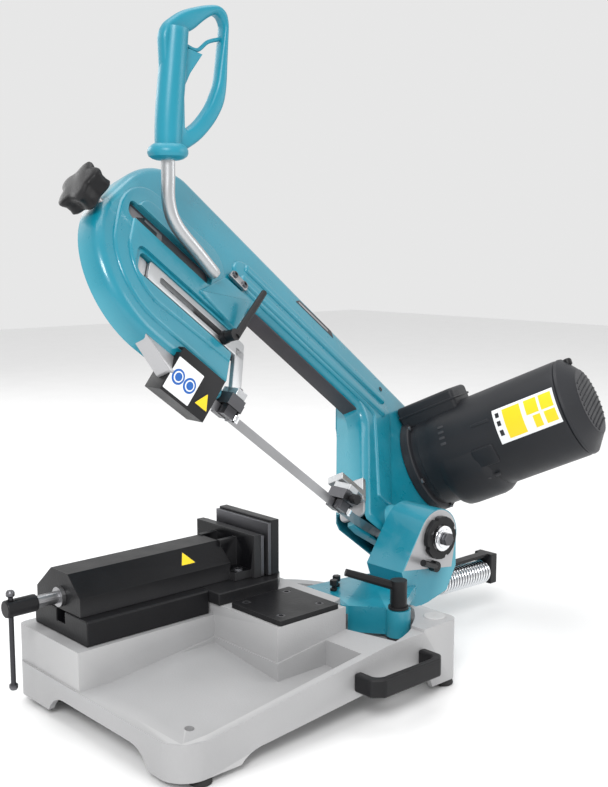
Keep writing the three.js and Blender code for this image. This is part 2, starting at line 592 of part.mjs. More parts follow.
function wheel(name, x, parent) {
  const half = WHEEL.width / 2;
  const rim = WHEEL.radius - 0.7;
  const profile = [[11.3, -5], [24, -5], [24, -3], [rim - 14, -3], [rim - 14, -half], [rim, -half],
    [rim, half - 1.2], [rim + 3, half - 1.2], [rim + 3, half], [rim - 14, half], [rim - 14, 3],
    [24, 3], [24, 9], [11.3, 9], [11.3, -5]];
  let body = turned(profile, [x, 0, WHEEL.height], [0, 1, 0], 26);
  for (let k = 0; k < 4; k += 1) {
    const angle = (k * 90 + 45) * DEG;
    const hx = x + 55 * Math.cos(angle);
    const hz = WHEEL.height + 55 * Math.sin(angle);
    body = body.subtract(rod([hx, -20, hz], [hx, 20, hz], 16, 6));
  }
  return mesh(name, body, castGrey, parent);
}

function makeWheels() {
  wheel('drive_wheel', WHEEL.drive, bow);
  wheel('idler_wheel', WHEEL.idler, bow);
  const z = WHEEL.height;
  const driveShaft = rod([WHEEL.drive, -11.5, z], [WHEEL.drive, 37.6, z], 11, 20);
  mesh('drive_shaft', driveShaft, steel, bow);
  const axle = rod([WHEEL.idler, -11.5, z], [WHEEL.idler, 12, z], 11, 20)
    .add(rod([WHEEL.idler, 9.3, z], [WHEEL.idler, 12, z], 15, 20));
  mesh('idler_axle', axle, steel, bow);
}

// Toothed wheel about an axis parallel to Y in the bow frame, drawn as an outline (x, z).
function gearOutline(cx, cz, teeth, phase) {
  const r = (GEAR.module * teeth) / 2;
  const pitch = (2 * Math.PI) / teeth;
  const shape = new THREE.Shape();
  for (let k = 0; k < teeth; k += 1) {
    const middle = (k + phase) * pitch;
    const corners = [[r - 4.4, -0.27], [r + 2.8, -0.09], [r + 2.8, 0.09], [r - 4.4, 0.27]];
    for (const [radius, side] of corners) {
      const a = REACH + middle + side * pitch;
      const point = [cx + radius * Math.cos(a), cz + radius * Math.sin(a)];
      if (k === 0 && side === -0.27) shape.moveTo(...point);
      else shape.lineTo(...point);
    }
  }
  return shape;
}

function makeGears() {
  const { x, z } = LAY;
  const finalGear = slab(gearOutline(WHEEL.drive, WHEEL.height, GEAR.final, 0), -22, -12)
    .subtract(rod([WHEEL.drive, 0, WHEEL.height], [WHEEL.drive, 40, WHEEL.height], 11 + GAP, 16));
  mesh('final_gear', finalGear, steel, bow);
  // A tooth of one gear stands in a gap of the next where they meet.
  const small = slab(gearOutline(x, z, GEAR.small, 0.5), -24.5, -12);
  const large = slab(gearOutline(x, z, GEAR.large, 0), -34, -24);
  const layBore = rod([x, 0, z], [x, 60, z], 5 + GAP, 16);
  mesh('reduction_gear', small.add(large).subtract(layBore), steel, bow);
}

// ---------------------------------------------------------------- blade
// Centre line of the loop in the wheel plane, with the twist of the blade about it.
function bladePath() {
  const r = WHEEL.radius + BLADE.thick / 2 + 0.15;
  const points = [];
  const arc = (cx, from, to, steps) => {
    for (let k = 0; k <= steps; k += 1) {
      const a = (from + ((to - from) * k) / steps) * DEG;
      points.push([cx + r * Math.cos(a), WHEEL.height + r * Math.sin(a), 0]);
    }
  };
  const free = 90 - BOW_LEAN;
  const start = [WHEEL.idler, WHEEL.height - r];
  const end = [WHEEL.drive, WHEEL.height - r];
  const lower = [[-440, 0], [-120, 0]];
  points.push([start[0], start[1], 0]);
  for (let k = 1; k <= 5; k += 1) {
    const s = k / 6;
    const smooth = s * s * (3 - 2 * s);
    points.push([start[0] + (lower[0][0] - start[0]) * s, start[1] * (1 - smooth), free * smooth]);
  }
  points.push([lower[0][0], 0, free]);
  points.push([lower[1][0], 0, free]);
  for (let k = 1; k <= 7; k += 1) {
    const s = k / 8;
    const smooth = s * s * (3 - 2 * s);
    points.push([lower[1][0] + (end[0] - lower[1][0]) * s, end[1] * smooth, free * (1 - smooth)]);
  }
  arc(WHEEL.drive, -90, 90, 13);
  arc(WHEEL.idler, 90, 257, 12);
  return points;
}

function makeBlade() {
  const path = bladePath();
  const count = path.length;
  const positions = [];
  const index = [];
  for (let k = 0; k < count; k += 1) {
    const [x, z, twist] = path[k];
    const before = path[(k + count - 1) % count];
    const after = path[(k + 1) % count];
    const along = new THREE.Vector2(after[0] - before[0], after[1] - before[1]).normalize();
    const across = new THREE.Vector3(0, Math.cos(twist * DEG), 0)
      .add(new THREE.Vector3(-along.y, 0, along.x).multiplyScalar(-Math.sin(twist * DEG)));
    const normal = new THREE.Vector3(along.x, 0, along.y).cross(across).normalize();
    for (const [w, t] of [[-1, -1], [1, -1], [1, 1], [-1, 1]]) {
      positions.push(x + (across.x * w * BLADE.width + normal.x * t * BLADE.thick) / 2,
        (across.y * w * BLADE.width + normal.y * t * BLADE.thick) / 2,
        z + (across.z * w * BLADE.width + normal.z * t * BLADE.thick) / 2);
    }
  }
  for (let k = 0; k < count; k += 1) {
    const next = (k + 1) % count;
    for (let side = 0; side < 4; side += 1) {
      const a = k * 4 + side;
      const b = k * 4 + ((side + 1) % 4);
      const c = next * 4 + ((side + 1) % 4);
      const d = next * 4 + side;
      index.push(a, b, c, a, c, d);
    }
  }
  const geometry = new THREE.BufferGeometry();
  geometry.setAttribute('position', new THREE.BufferAttribute(new Float32Array(positions), 3));
  geometry.setIndex(index);
  let body = solid(geometry);
  if (body.volume() < 0) {
    geometry.setIndex(index.map((_, k) => index[k - (k % 3) + (2 - (k % 3))]));
    body = solid(geometry);
  }
  mesh('blade', body, steel, bow);
}

// ---------------------------------------------------------------- tension and guides
function makeTension() {
  const { y, z } = TENSION;
  const slide = box(-556, -480, -11.7, -5.6, 98, 176)
    .add(box(-636, -550, -11.7, -8.8, 148, 164))
    .add(box(-638, -622, -11.7, -1.8, 148, 164))
    .subtract(rod([WHEEL.idler, -20, WHEEL.height], [WHEEL.idler, 5, WHEEL.height], 11 + GAP, 16));
  mesh('tension_slide', slide, aluminium, bow);
  const screw = rod([-638 - GAP, y, z], [-690, y, z], 6, 16);
  const lobes = new THREE.Shape();
  const steps = 25;
  for (let k = 0; k < steps; k += 1) {
    const a = (k / steps) * 2 * Math.PI;
    const r = 31 + 4.5 * Math.cos(5 * a);
    const point = [y + r * Math.cos(a), z + r * Math.sin(a)];
    if (k === 0) lobes.moveTo(...point);
    else lobes.lineTo(...point);
  }
  const knob = bar(lobes, -699, -673)
    .add(rod([-674, y, z], [-666.6, y, z], 15, 16))
    .add(screw);
  mesh('tension_knob', knob, blackPlastic, bow);
}

// A body drawn upright about the blade, turned into the bow frame at a place along the blade.
function upright(body, x) {
  return body.rotate([BOW_LEAN, 0, 0]).translate([x, 0, 0]);
}

const HOLDER = { half: 13, low: 8.4, high: 24 };

function makeGuides() {
  // Slotted bar in the front slot of the casting, with an arm down to the guide at its end.
  const g = GUIDE_IDLE;
  const slotted = slab(rounded(-572, g + 10, 83, 101, 4), 12.3, 19, 4)
    .subtract(slab(rounded(-556, -420, 88.5, 95.5, 3.4), 5, 30, 4));
  const arm = slab(outline([[g - 8, 99], [g + 10, 99], [g + 10, 24], [g - 8, 24]]), 12.3, 19);
  const foot = upright(box(-8, 10, -16, 16, HOLDER.high + GAP, 34), g);
  mesh('guide_arm', union(slotted, arm, foot), aluminium, bow);
  const hub = rod([-428, -19.3, 92], [-428, -27, 92], 9, 20)
    .add(rod([-428, -26, 92], [-428, -42, 88], 8, 20))
    .add(rod([-424, -39, 88], [-386, -50, 195], 5.5, 12, 4.5));
  const stud = rod([-428, -9.6, 92], [-428, -11.7, 92], 5.5, 6)
    .add(rod([-428, -10, 92], [-428, -21, 92], 3, 12));
  mesh('guide_clamp_lever', hub.add(stud), blackPlastic, bow);

  const x = GUIDE_DRIVE;
  const left = LEG.left - GAP;
  const bracket = box(left - 8, left, -16, 30, 30, 70)
    .add(box(x - 10, left, -16, 10, 36, 48))
    .add(upright(box(-10, 10, -16, 16, HOLDER.high + GAP, 34), x));
  mesh('drive_guide_bracket', bracket, aluminium, bow);
  const knob = rod([0, -16 - GAP, 16], [0, -22, 16], 4, 12).add(rod([0, -21, 16], [0, -32, 16], 7.5, 10));
  mesh('drive_guide_knob', upright(knob, x), blackPlastic, bow);

  // Channel round the blade below the idler end, with its front plate up the front of the casting.
  const guard = union(box(-504, -424, -16, -14.4, -33, 28), box(-504, -424, -16, -4.2, 26.2, 28),
    box(-504, -424, -16, 17.6, -33, -31.4), box(-504, -424, 16, 17.6, -33, -5));
  mesh('blade_guard', upright(guard, 0), blackPlastic, bow);
}

// Holder with a slot for the blade and its two rollers, in the hinge frame where the blade stands up.
function makeGuideBlock(label, x) {
  const block = new THREE.Group();
  block.position.set(x, 0, 0);
  block.rotation.x = BOW_LEAN * DEG;
  bow.add(block);
  const holder = box(-HOLDER.half, HOLDER.half, -16, 16, HOLDER.low, HOLDER.high);
  const cheekFront = box(-9, 9, -14, -2.2, -5.2, 9);
  const cheekRear = box(-9, 9, 2.2, 14, -5.2, 9);
  const pins = [-7.4, 7.4].map((y) => rod([15.6, y, -5], [15.6, y, 12], 1.7, 10));
  const nose = box(9, 18, -11, 11, 9, 20);
  mesh(`${label}_guide_block`, union(holder, cheekFront, cheekRear, nose, ...pins), darkSteel, block);
  for (const [side, sign] of [['front', -1], ['back', 1]]) {
    const profile = [[2, -4], [6.5, -4], [6.5, 4], [2, 4], [2, -4]];
    const roller = turned(profile, [15.6, sign * 7.4, 0], [0, 0, 1], 20);
    mesh(`${label}_roller_${side}`, roller, chrome, block);
  }
}

// ---------------------------------------------------------------- pivot shaft and motor
function makeShaft() {
  const face = PIVOT.face;
  const r = PIVOT.radius;
  const shaft = rod([0, face - 9, 0], [0, PIVOT.back + 11, 0], r, 16)
    .subtract(rod([0, face - 20, 0], [0, face + 20, 0], 5 + GAP, 16));
  mesh('pivot_shaft', shaft, steel, hinge);
  const washer = rod([0, face - 9.3, 0], [0, face - 12, 0], 19, 20)
    .add(rod([0, face - 11.5, 0], [0, face - 14, 0], 14, 20))
    .subtract(rod([0, face, 0], [0, face - 20, 0], 5 + GAP, 16));
  mesh('pivot_washer', washer, chrome, hinge);
  const bolt = rod([0, face - 14.3, 0], [0, face - 22, 0], 10, 6)
    .add(rod([0, face - 16, 0], [0, face + 15, 0], 5, 16));
  mesh('pivot_bolt', bolt, darkSteel, hinge);
}

// Lathe profile (radius, distance out from the casting) about the motor axis.
function aboutMotor(profile, sides = 24) {
  return turned(profile, [MOTOR.x, 0, MOTOR.z], [0, -1, 0], sides);
}

function makeMotor() {
  const R = MOTOR.radius;
  const out = FRONT + GAP;
  const flange = aboutMotor([
    [14, out], [MOTOR.flange, out], [MOTOR.flange, 33], [70, 36], [14, 36], [14, out]]);
  mesh('motor_flange', flange, motorPlastic, bow);
  const shellOut = aboutMotor([[0, 36.3], [74, 36.3], [76, 60], [R, 84], [R, MOTOR.far], [0, MOTOR.far]]);
  const shellIn = aboutMotor([[0, 30], [70, 30], [70, 80], [R - 6, 90], [R - 6, 330], [0, 330]]);
  const swell = rod([MOTOR.x + 7, -70, MOTOR.z - 8], [MOTOR.x + 7, -150, MOTOR.z - 8], R, 24);
  const shell = shellOut.add(swell).subtract(shellIn);
  mesh('motor_shell', shell, motorPlastic, bow);
  const cap = aboutMotor([
    [0, MOTOR.far + GAP], [R, MOTOR.far + GAP], [R - 2, MOTOR.far + 6], [R - 26, MOTOR.end], [0, MOTOR.end]]);
  mesh('motor_end_cap', cap, motorPlastic, bow);
  const boxRaw = box(-36, 36, -118, -22, 60, 101).rotate([0, -42, 0]).translate([MOTOR.x, 0, MOTOR.z]);
  const clear = aboutMotor([[0, 15], [MOTOR.flange + GAP, 15], [MOTOR.flange + GAP, 36.2], [76 + GAP, 36.2],
    [76 + GAP, 60], [R + GAP, 83.5], [R + GAP, 340], [0, 340]]);
  mesh('terminal_box', boxRaw.subtract(clear), motorPlastic, bow);
  const { x, z } = MOTOR;
  const rotor = rod([x, 35, z], [x, -280, z], 8, 16)
    .add(rod([x, -90, z], [x, -240, z], 50, 20))
    .add(slab(gearOutline(x, z, GEAR.pinion, 0.5), -34, -24));
  mesh('motor_rotor', rotor, steel, bow);
}

// ---------------------------------------------------------------- handle
// The handle is drawn upright where it stands at rest, then taken into the bow frame.
const HANDLE = { x: -76, y: 73, collar: 711, tube: 9 };

function intoBow(body) {
  saw.updateMatrixWorld(true);
  return body.transform(bow.matrixWorld.clone().invert().toArray());
}

function restPoint(x, y, z) {
  return new THREE.Vector3(x, y, z).applyMatrix4(bow.matrixWorld).toArray();
}

function makeHandle() {
  saw.updateMatrixWorld(true);
  const { x, y, collar } = HANDLE;
  const low = restPoint(-470, -35, 166.5);
  const bend = restPoint(-572, -44, 178);
  const along = (t) => low.map((value, k) => value + (bend[k] - value) * t);
  const path = [low, along(0.5), along(0.88), [x, y, 655], [x, y, 690], [x, y, 740]];
  mesh('handle_tube', intoBow(swept(path, HANDLE.tube, 16, 12)), aluminium, bow);

  const loopOuter = outline([[0, 716], [20, 716], [48, 732], [72, 756], [87, 780], [92, 806], [94.5, 855],
    [96, 884], [93, 897], [86, 903], [76, 905], [58, 902], [24, 892], [-2, 874], [-10, 860], [-8, 800]]);
  const loopInner = outline([[22, 741], [44, 756], [63, 778], [76, 806], [84, 855], [88, 880], [82, 890],
    [74, 893], [58, 884], [38, 868], [24, 862]]);
  const loop = slab(loopOuter, -9.5, 9.5, 4).subtract(slab(loopInner, -20, 20, 4));
  const grip = swept([[0, 0, 712], [2, 0, 760], [9, 0, 820], [16, 0, 868]], 18.5, 4, 12);
  const ball = turned([[0, 0], [12, 3], [18.5, 9], [18.5, 14], [0, 16]], [15, 0, 862], [0, 0, 1], 12);
  const cuff = turned([[0, -6], [15, -6], [24, -1], [26, 5], [24, 11], [18.5, 15], [0, 15]], [0, 0, collar],
    [0, 0, 1], 16);
  const bridge = slab(outline([[22, 850], [50, 843], [68, 857], [90, 862], [90, 866], [67, 861], [50, 847.5],
    [22, 856]]), -4, 4, 4);
  const bore = rod([0, 0, 600], [0, 0, 741], HANDLE.tube + GAP, 20);
  const nest = slab(outline([
    [4.5, 850], [35, 846.5], [60, 840], [36, 812], [26, 796.5], [4.5, 796.5]]), -5, 5, 4);
  let body = union(loop, grip, ball, cuff, bridge).subtract(nest).subtract(bore);
  body = body.translate([x, y, 0]);
  mesh('handle_grip', intoBow(body), teal, bow);
  const lever = outline([[11, 847], [34, 845], [54, 840.5], [34, 815], [26, 800], [11, 800]]);
  const trigger = slab(lever, -4.6, 4.6, 4).translate([x, y, 0]);
  mesh('trigger', intoBow(trigger), teal, bow);
}

makeCasting();
makeCovers();
makeWheels();
makeGears();
makeShaft();
makeMotor();
makeHandle();
makeBlade();
makeTension();
makeGuides();
makeGuideBlock('idle', GUIDE_IDLE);
makeGuideBlock('drive', GUIDE_DRIVE);

// The part's origin is the middle of its footprint, on the floor.
saw.updateMatrixWorld(true);
const extent = new THREE.Box3().setFromObject(saw, true);
const middle = extent.getCenter(new THREE.Vector3());
saw.position.set(-middle.x, -middle.y, -extent.min.z);

export default saw;
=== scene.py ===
"""Looks of the pull-down band saw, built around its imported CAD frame.

Lengths are millimetres in the frames named below, each a matrix that takes them to the row's metres.
"""
import json
import math

import bmesh
import bpy
from mathutils import Matrix, Vector


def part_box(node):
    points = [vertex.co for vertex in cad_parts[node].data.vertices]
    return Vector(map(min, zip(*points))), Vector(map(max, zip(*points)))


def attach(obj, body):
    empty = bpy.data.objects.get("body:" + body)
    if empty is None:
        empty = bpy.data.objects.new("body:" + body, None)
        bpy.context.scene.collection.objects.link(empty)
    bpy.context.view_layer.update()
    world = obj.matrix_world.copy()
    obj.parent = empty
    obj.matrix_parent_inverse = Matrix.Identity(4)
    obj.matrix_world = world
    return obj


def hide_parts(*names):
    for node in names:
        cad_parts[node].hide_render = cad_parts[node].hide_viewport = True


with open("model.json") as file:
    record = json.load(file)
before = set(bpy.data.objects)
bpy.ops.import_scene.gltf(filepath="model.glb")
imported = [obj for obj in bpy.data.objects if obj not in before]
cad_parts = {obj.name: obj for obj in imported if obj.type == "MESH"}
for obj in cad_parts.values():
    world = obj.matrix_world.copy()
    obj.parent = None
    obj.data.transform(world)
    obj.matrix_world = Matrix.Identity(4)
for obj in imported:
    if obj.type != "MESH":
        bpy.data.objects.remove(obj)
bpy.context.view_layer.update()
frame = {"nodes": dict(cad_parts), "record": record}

MM = 0.001

# ------------------------------------------------------------------ frames
BOW_RAISED = 37.5  # degrees between the blade and the table
BOW_LEAN = 32.0  # degrees that the wheel plane leans back
BLADE_Y = 16.0
BLADE_DROP = 35.0
FOOT_PLACE = Vector((-208.0, -156.0, 0.0))  # front left foot in the drawing frame


def turn(degrees, axis):
    return Matrix.Rotation(math.radians(degrees), 4, axis)


def middle(node):
    low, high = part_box(node)
    return (Vector(low) + Vector(high)) / 2


def drawing_frame():
    low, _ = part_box("foot_front_left")
    foot = middle("foot_front_left")
    origin = Vector((foot.x, foot.y, low[2])) - FOOT_PLACE * MM
    return Matrix.Translation(origin) @ Matrix.Scale(MM, 4)


DRAWING = drawing_frame()  # feet centred, z up
PIVOT = DRAWING.inverted() @ middle("pivot_shaft")
PIVOT.y = 0.0
HINGE = DRAWING @ Matrix.Translation(PIVOT) @ turn(BOW_RAISED, "Y")
BOW = HINGE @ Matrix.Translation((0, BLADE_Y, -BLADE_DROP)) @ turn(-BOW_LEAN, "X")
FACE = BOW @ turn(90, "X")  # front of the bow: x along, y up, z out of the face
MOTOR_AXIS = (103.0, 209.2)
MOTOR = FACE @ Matrix.Translation((*MOTOR_AXIS, 0))  # z runs out along the motor
UPRIGHT = BOW @ turn(BOW_LEAN, "X")  # about the blade, z up across it
TOWER = DRAWING @ turn(90, "X")  # front of the bracket tower: x, height, out


def facing(place, at, normal, up=(0, 0, 1)):
    """Frame with its z along a normal and its y as near up as it can be."""
    z = Vector(normal).normalized()
    x = Vector(up).cross(z).normalized()
    y = z.cross(x)
    basis = Matrix((x, y, z)).transposed().to_4x4()
    return place @ Matrix.Translation(at) @ basis


# ------------------------------------------------------------------ materials
GRAIN_DEPTH = 0.0004  # metres
COAT_ROUGHNESS = 0.08


def noise(tree, scale, detail=2.0, stretch=(1, 1, 1)):
    coords = tree.nodes.new("ShaderNodeTexCoord")
    mapping = tree.nodes.new("ShaderNodeMapping")
    mapping.inputs["Scale"].default_value = stretch
    texture = tree.nodes.new("ShaderNodeTexNoise")
    texture.inputs["Scale"].default_value = scale
    texture.inputs["Detail"].default_value = detail
    tree.links.new(coords.outputs["Object"], mapping.inputs["Vector"])
    tree.links.new(mapping.outputs["Vector"], texture.inputs["Vector"])
    return texture.outputs["Fac"]


def spread(tree, value, low, high, start=0.3, end=0.7):
    node = tree.nodes.new("ShaderNodeMapRange")
    node.inputs["From Min"].default_value = start
    node.inputs["From Max"].default_value = end
    node.inputs["To Min"].default_value = low
    node.inputs["To Max"].default_value = high
    tree.links.new(value, node.inputs["Value"])
    return node.outputs["Result"]


def blend_colours(tree, factor, first, second):
    node = tree.nodes.new("ShaderNodeMix")
    node.data_type = "RGBA"
    tree.links.new(factor, node.inputs["Factor"])
    for socket, colour in ((node.inputs["A"], first), (node.inputs["B"], second)):
        if isinstance(colour, tuple):
            socket.default_value = (*colour, 1)
        else:
            tree.links.new(colour, socket)
    return node.outputs["Result"]


def shade(colour, amount):
    return tuple(min(1.0, c * amount) for c in colour)


def look(name, colour, rough, metallic=0.0, vary=0.15, patches=9.0, grain=900.0, bump=0.06,
         coat=0.0, edge_wear_and_highlight=None, stretch=(1, 1, 1), rough_vary=0.12, specular=0.5):
    """Painted, plastic or metal finish: patchy colour, fine grain bump, and convex edges painted a lighter
    tint, partly edge wear and partly a painted highlight.
    """
    material = bpy.data.materials.new(name)
    material.use_nodes = True
    tree = material.node_tree
    bsdf = tree.nodes["Principled BSDF"]
    bsdf.inputs["Metallic"].default_value = metallic
    bsdf.inputs["Coat Weight"].default_value = coat
    bsdf.inputs["Specular IOR Level"].default_value = specular
    bsdf.inputs["Coat Roughness"].default_value = COAT_ROUGHNESS
    patch = spread(tree, noise(tree, patches, 4.0), 0.0, 1.0)
    tint = blend_colours(tree, patch, shade(colour, 1 - vary), shade(colour, 1 + vary))
    # convex edges, found by pointiness, get a lighter tint of the colour: partly edge wear, partly a
    # painted edge highlight
    if edge_wear_and_highlight:
        edge = tree.nodes.new("ShaderNodeNewGeometry").outputs["Pointiness"]
        edge_wear_and_highlight_mask = spread(tree, edge, 0.0, 0.55, 0.53, 0.62)
        tint = blend_colours(tree, edge_wear_and_highlight_mask, tint, edge_wear_and_highlight)
    tree.links.new(tint, bsdf.inputs["Base Color"])
    smudge = noise(tree, patches * 4, 3.0)
    tree.links.new(spread(tree, smudge, rough * (1 - rough_vary), rough * (1 + rough_vary)),
                   bsdf.inputs["Roughness"])
    texture = tree.nodes.new("ShaderNodeBump")
    texture.inputs["Strength"].default_value = bump
    texture.inputs["Distance"].default_value = GRAIN_DEPTH
    tree.links.new(noise(tree, grain, 2.0, stretch), texture.inputs["Height"])
    tree.links.new(texture.outputs["Normal"], bsdf.inputs["Normal"])
    return material


LOOKS = {
    "teal_paint": look("teal_paint", (0.003, 0.2, 0.28), 0.32, coat=0.45, vary=0.08, grain=260, bump=0.3,
                       edge_wear_and_highlight=(0.09, 0.38, 0.47), rough_vary=0.2),
    "teal_plastic": look("teal_plastic", (0.005, 0.22, 0.31), 0.35, vary=0.06, grain=1500, bump=0.12,
                         edge_wear_and_highlight=(0.08, 0.34, 0.43)),
    "grey_paint": look("grey_paint", (0.36, 0.36, 0.365), 0.42, vary=0.06, grain=420, bump=0.6,
                       edge_wear_and_highlight=(0.5, 0.5, 0.5), patches=7),
    "black_paint": look("black_paint", (0.005, 0.005, 0.006), 0.34, grain=300, bump=0.35,
                        edge_wear_and_highlight=(0.045, 0.045, 0.047), specular=0.22),
    "black_plastic": look("black_plastic", (0.009, 0.009, 0.01), 0.42, grain=1600, bump=0.22,
                          edge_wear_and_highlight=(0.035, 0.035, 0.037), specular=0.22),
    "motor_plastic": look("motor_plastic", (0.014, 0.015, 0.018), 0.44, grain=1400, bump=0.28,
                          edge_wear_and_highlight=(0.045, 0.045, 0.05), specular=0.28),
    "cover_paint": look("cover_paint", (0.035, 0.03, 0.036), 0.5, grain=700, bump=0.2,
                        edge_wear_and_highlight=(0.1, 0.1, 0.1)),
    "foot_rubber": look("foot_rubber", (0.018, 0.018, 0.018), 0.85, grain=700, bump=0.3),
    "dark_steel": look("dark_steel", (0.05, 0.05, 0.055), 0.36, metallic=0.85, stretch=(1, 14, 1),
                       bump=0.15, edge_wear_and_highlight=(0.3, 0.3, 0.32)),
    "steel": look("steel", (0.36, 0.36, 0.37), 0.34, metallic=1.0, stretch=(1, 18, 1), bump=0.12),
    "chrome": look("chrome", (0.8, 0.81, 0.83), 0.12, metallic=1.0, vary=0.03, bump=0.02),
    "bright_aluminium": look("bright_aluminium", (0.5, 0.51, 0.52), 0.36, metallic=0.9, vary=0.05,
                             grain=600, stretch=(1, 1, 9), bump=0.1),
    "wheel_iron": look("wheel_iron", (0.42, 0.42, 0.43), 0.5, vary=0.08, grain=500, bump=0.4),
}
MACHINED = look("machined_face", (0.42, 0.42, 0.43), 0.38, metallic=0.55, vary=0.05, grain=500,
                stretch=(9, 1, 1), bump=0.15)
LABEL_WHITE = look("label_white", (0.8, 0.81, 0.82), 0.35, vary=0.02, bump=0.02)
LABEL_BLUE = look("label_blue", (0.01, 0.11, 0.42), 0.35, vary=0.04, bump=0.02)
LABEL_YELLOW = look("label_yellow", (0.85, 0.62, 0.01), 0.35, vary=0.04, bump=0.02)
LABEL_GREY = look("label_grey", (0.16, 0.15, 0.155), 0.4, vary=0.08, bump=0.05)
LABEL_BLACK = look("label_black", (0.01, 0.01, 0.012), 0.35, vary=0.04, bump=0.02)
# near-black finish put in holes, slits, vents and troughs: painted shade standing for the dark inside of
# openings
PAINTED_SHADE = look("painted_recess_shade", (0.03, 0.03, 0.034), 0.6, vary=0.2, bump=0.3)


# ------------------------------------------------------------------ outlines
def arc(cx, cy, radius, start, end, steps=12):
    points = []
    for k in range(steps + 1):
        a = math.radians(start + (end - start) * k / steps)
        points.append((cx + radius * math.cos(a), cy + radius * math.sin(a)))
    return points


def curve(first, control, last, steps=8):
    points = []
    for k in range(steps + 1):
        t = k / steps
        weights = ((1 - t) ** 2, 2 * t * (1 - t), t * t)
        points.append(tuple(sum(w * p[i] for w, p in zip(weights, (first, control, last)))
                            for i in range(2)))
    return points


def rounded(points, radius, steps=5):
    """Polygon with its corners rounded, each by at most 45% of its shorter side."""
    result = []
    count = len(points)
    for k in range(count):
        before, corner, after = (Vector(points[(k + j) % count]) for j in (-1, 0, 1))
        reach = min(radius, 0.45 * (before - corner).length, 0.45 * (after - corner).length)
        first = corner + (before - corner).normalized() * reach
        last = corner + (after - corner).normalized() * reach
        result += curve(first, corner, last, steps)
    return result


def rectangle(x0, x1, y0, y1, radius=2.0, steps=5):
    return rounded([(x0, y0), (x1, y0), (x1, y1), (x0, y1)], radius, steps)


def cleaned(points):
    """The outline anticlockwise, without doubled points."""
    kept = []
    for point in map(Vector, points):
        if not kept or (point - kept[-1]).length > 0.02:
            kept.append(point)
    if (kept[0] - kept[-1]).length <= 0.02:
        kept.pop()
    area = sum(kept[k - 1].x * kept[k].y - kept[k].x * kept[k - 1].y for k in range(len(kept)))
    return kept if area > 0 else kept[::-1]


def inset(points, distance):
    moved = []
    count = len(points)
    for k in range(count):
        before, here, after = points[k - 1], points[k], points[(k + 1) % count]
        first = (here - before).normalized()
        second = (after - here).normalized()
        inward = Vector((-first.y, first.x)) + Vector((-second.y, second.x))
        moved.append(here + inward * (distance / max(0.4, 1 + first.dot(second))))
    return moved


# ------------------------------------------------------------------ meshes
SHARP_ANGLE = 32.0  # degrees; steeper edges are shaded sharp
BEVEL_FROM = 28.0  # degrees; flatter edges of a CAD node get no bevel
FLAT_WITHIN = 0.6  # degrees; flatter joins of a CAD node are merged
WELD = 2e-6  # metres


def ring(bm, points, z):
    return [bm.verts.new((p.x, p.y, z)) for p in points]


def bridge(bm, lower, upper):
    count = len(lower)
    for k in range(count):
        j = (k + 1) % count
        bm.faces.new((lower[k], lower[j], upper[j], upper[k]))


def quarter(radius, steps):
    """Insets and heights of a rounded edge, from the side wall to the flat face."""
    for k in range(steps + 1):
        a = math.pi / 2 * k / steps
        yield radius * (1 - math.cos(a)), radius * math.sin(a) - radius


def prism(bm, outline, z0, z1, top=1.0, bottom=0.0, steps=3):
    """Solid from z0 to z1 with rounded top and bottom edges."""
    points = cleaned(outline)
    layers = [(d, z0 - h) for d, h in quarter(bottom, steps)][::-1] if bottom else [(0.0, z0)]
    layers += [(d, z1 + h) for d, h in quarter(top, steps)] if top else [(0.0, z1)]
    rings = [ring(bm, inset(points, d), z) for d, z in layers]
    for lower, upper in zip(rings, rings[1:]):
        bridge(bm, lower, upper)
    bm.faces.new(rings[-1])
    bm.faces.new(rings[0][::-1])


def lathe(bm, profile, sides=48):
    """Closed solid of revolution about z from (radius, height) points."""
    rings = []
    for radius, height in profile:
        points = [Vector((radius * math.cos(2 * math.pi * k / sides),
                          radius * math.sin(2 * math.pi * k / sides)))
                  for k in range(sides)]
        rings.append(ring(bm, points, height))
    for lower, upper in zip(rings, rings[1:]):
        bridge(bm, lower, upper)
    bm.faces.new(rings[-1])
    bm.faces.new(rings[0][::-1])


def smooth_path(points, steps):
    """Points on a smooth curve through the given ones."""
    ends = [points[0] * 2 - points[1], *points, points[-1] * 2 - points[-2]]
    result = []
    for k in range(1, len(ends) - 2):
        a, b, c, d = ends[k - 1:k + 3]
        for j in range(steps):
            t = j / steps
            result.append(0.5 * (2 * b + (c - a) * t + (2 * a - 5 * b + 4 * c - d) * t * t
                                 + (3 * b - a - 3 * c + d) * t ** 3))
    return [*result, points[-1]]


def sweep(bm, path, radii, sides=20, flat=1.0):
    """Tube along a path with a radius at each point; flat squeezes it across."""
    normal = None
    rings = []
    for k, point in enumerate(path):
        tangent = (path[min(k + 1, len(path) - 1)] - path[max(k - 1, 0)]).normalized()
        if normal is None:
            normal = tangent.orthogonal().normalized()
        normal = (normal - tangent * normal.dot(tangent)).normalized()
        side = tangent.cross(normal)
        rings.append([bm.verts.new(point + normal * (radii[k] * math.cos(2 * math.pi * j / sides))
                                   + side * (radii[k] * flat * math.sin(2 * math.pi * j / sides)))
                      for j in range(sides)])
    for lower, upper in zip(rings, rings[1:]):
        bridge(bm, lower, upper)
    bm.faces.new(rings[-1])
    bm.faces.new(rings[0][::-1])


def finished(name, bm, place, body, material, sharp=SHARP_ANGLE):
    """Turns a bmesh into a piece that rides on a CAD body."""
    bm.transform(place)
    bmesh.ops.recalc_face_normals(bm, faces=bm.faces)
    data = bpy.data.meshes.new(name)
    bm.to_mesh(data)
    bm.free()
    piece = bpy.data.objects.new(name, data)
    bpy.context.collection.objects.link(piece)
    dress(piece, material, sharp)
    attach(piece, body)
    return piece


def dress(piece, material, sharp):
    piece.data.materials.clear()
    piece.data.materials.append(material)
    piece.data.polygons.foreach_set("use_smooth", [True] * len(piece.data.polygons))
    piece.data.set_sharp_from_angle(angle=math.radians(sharp))


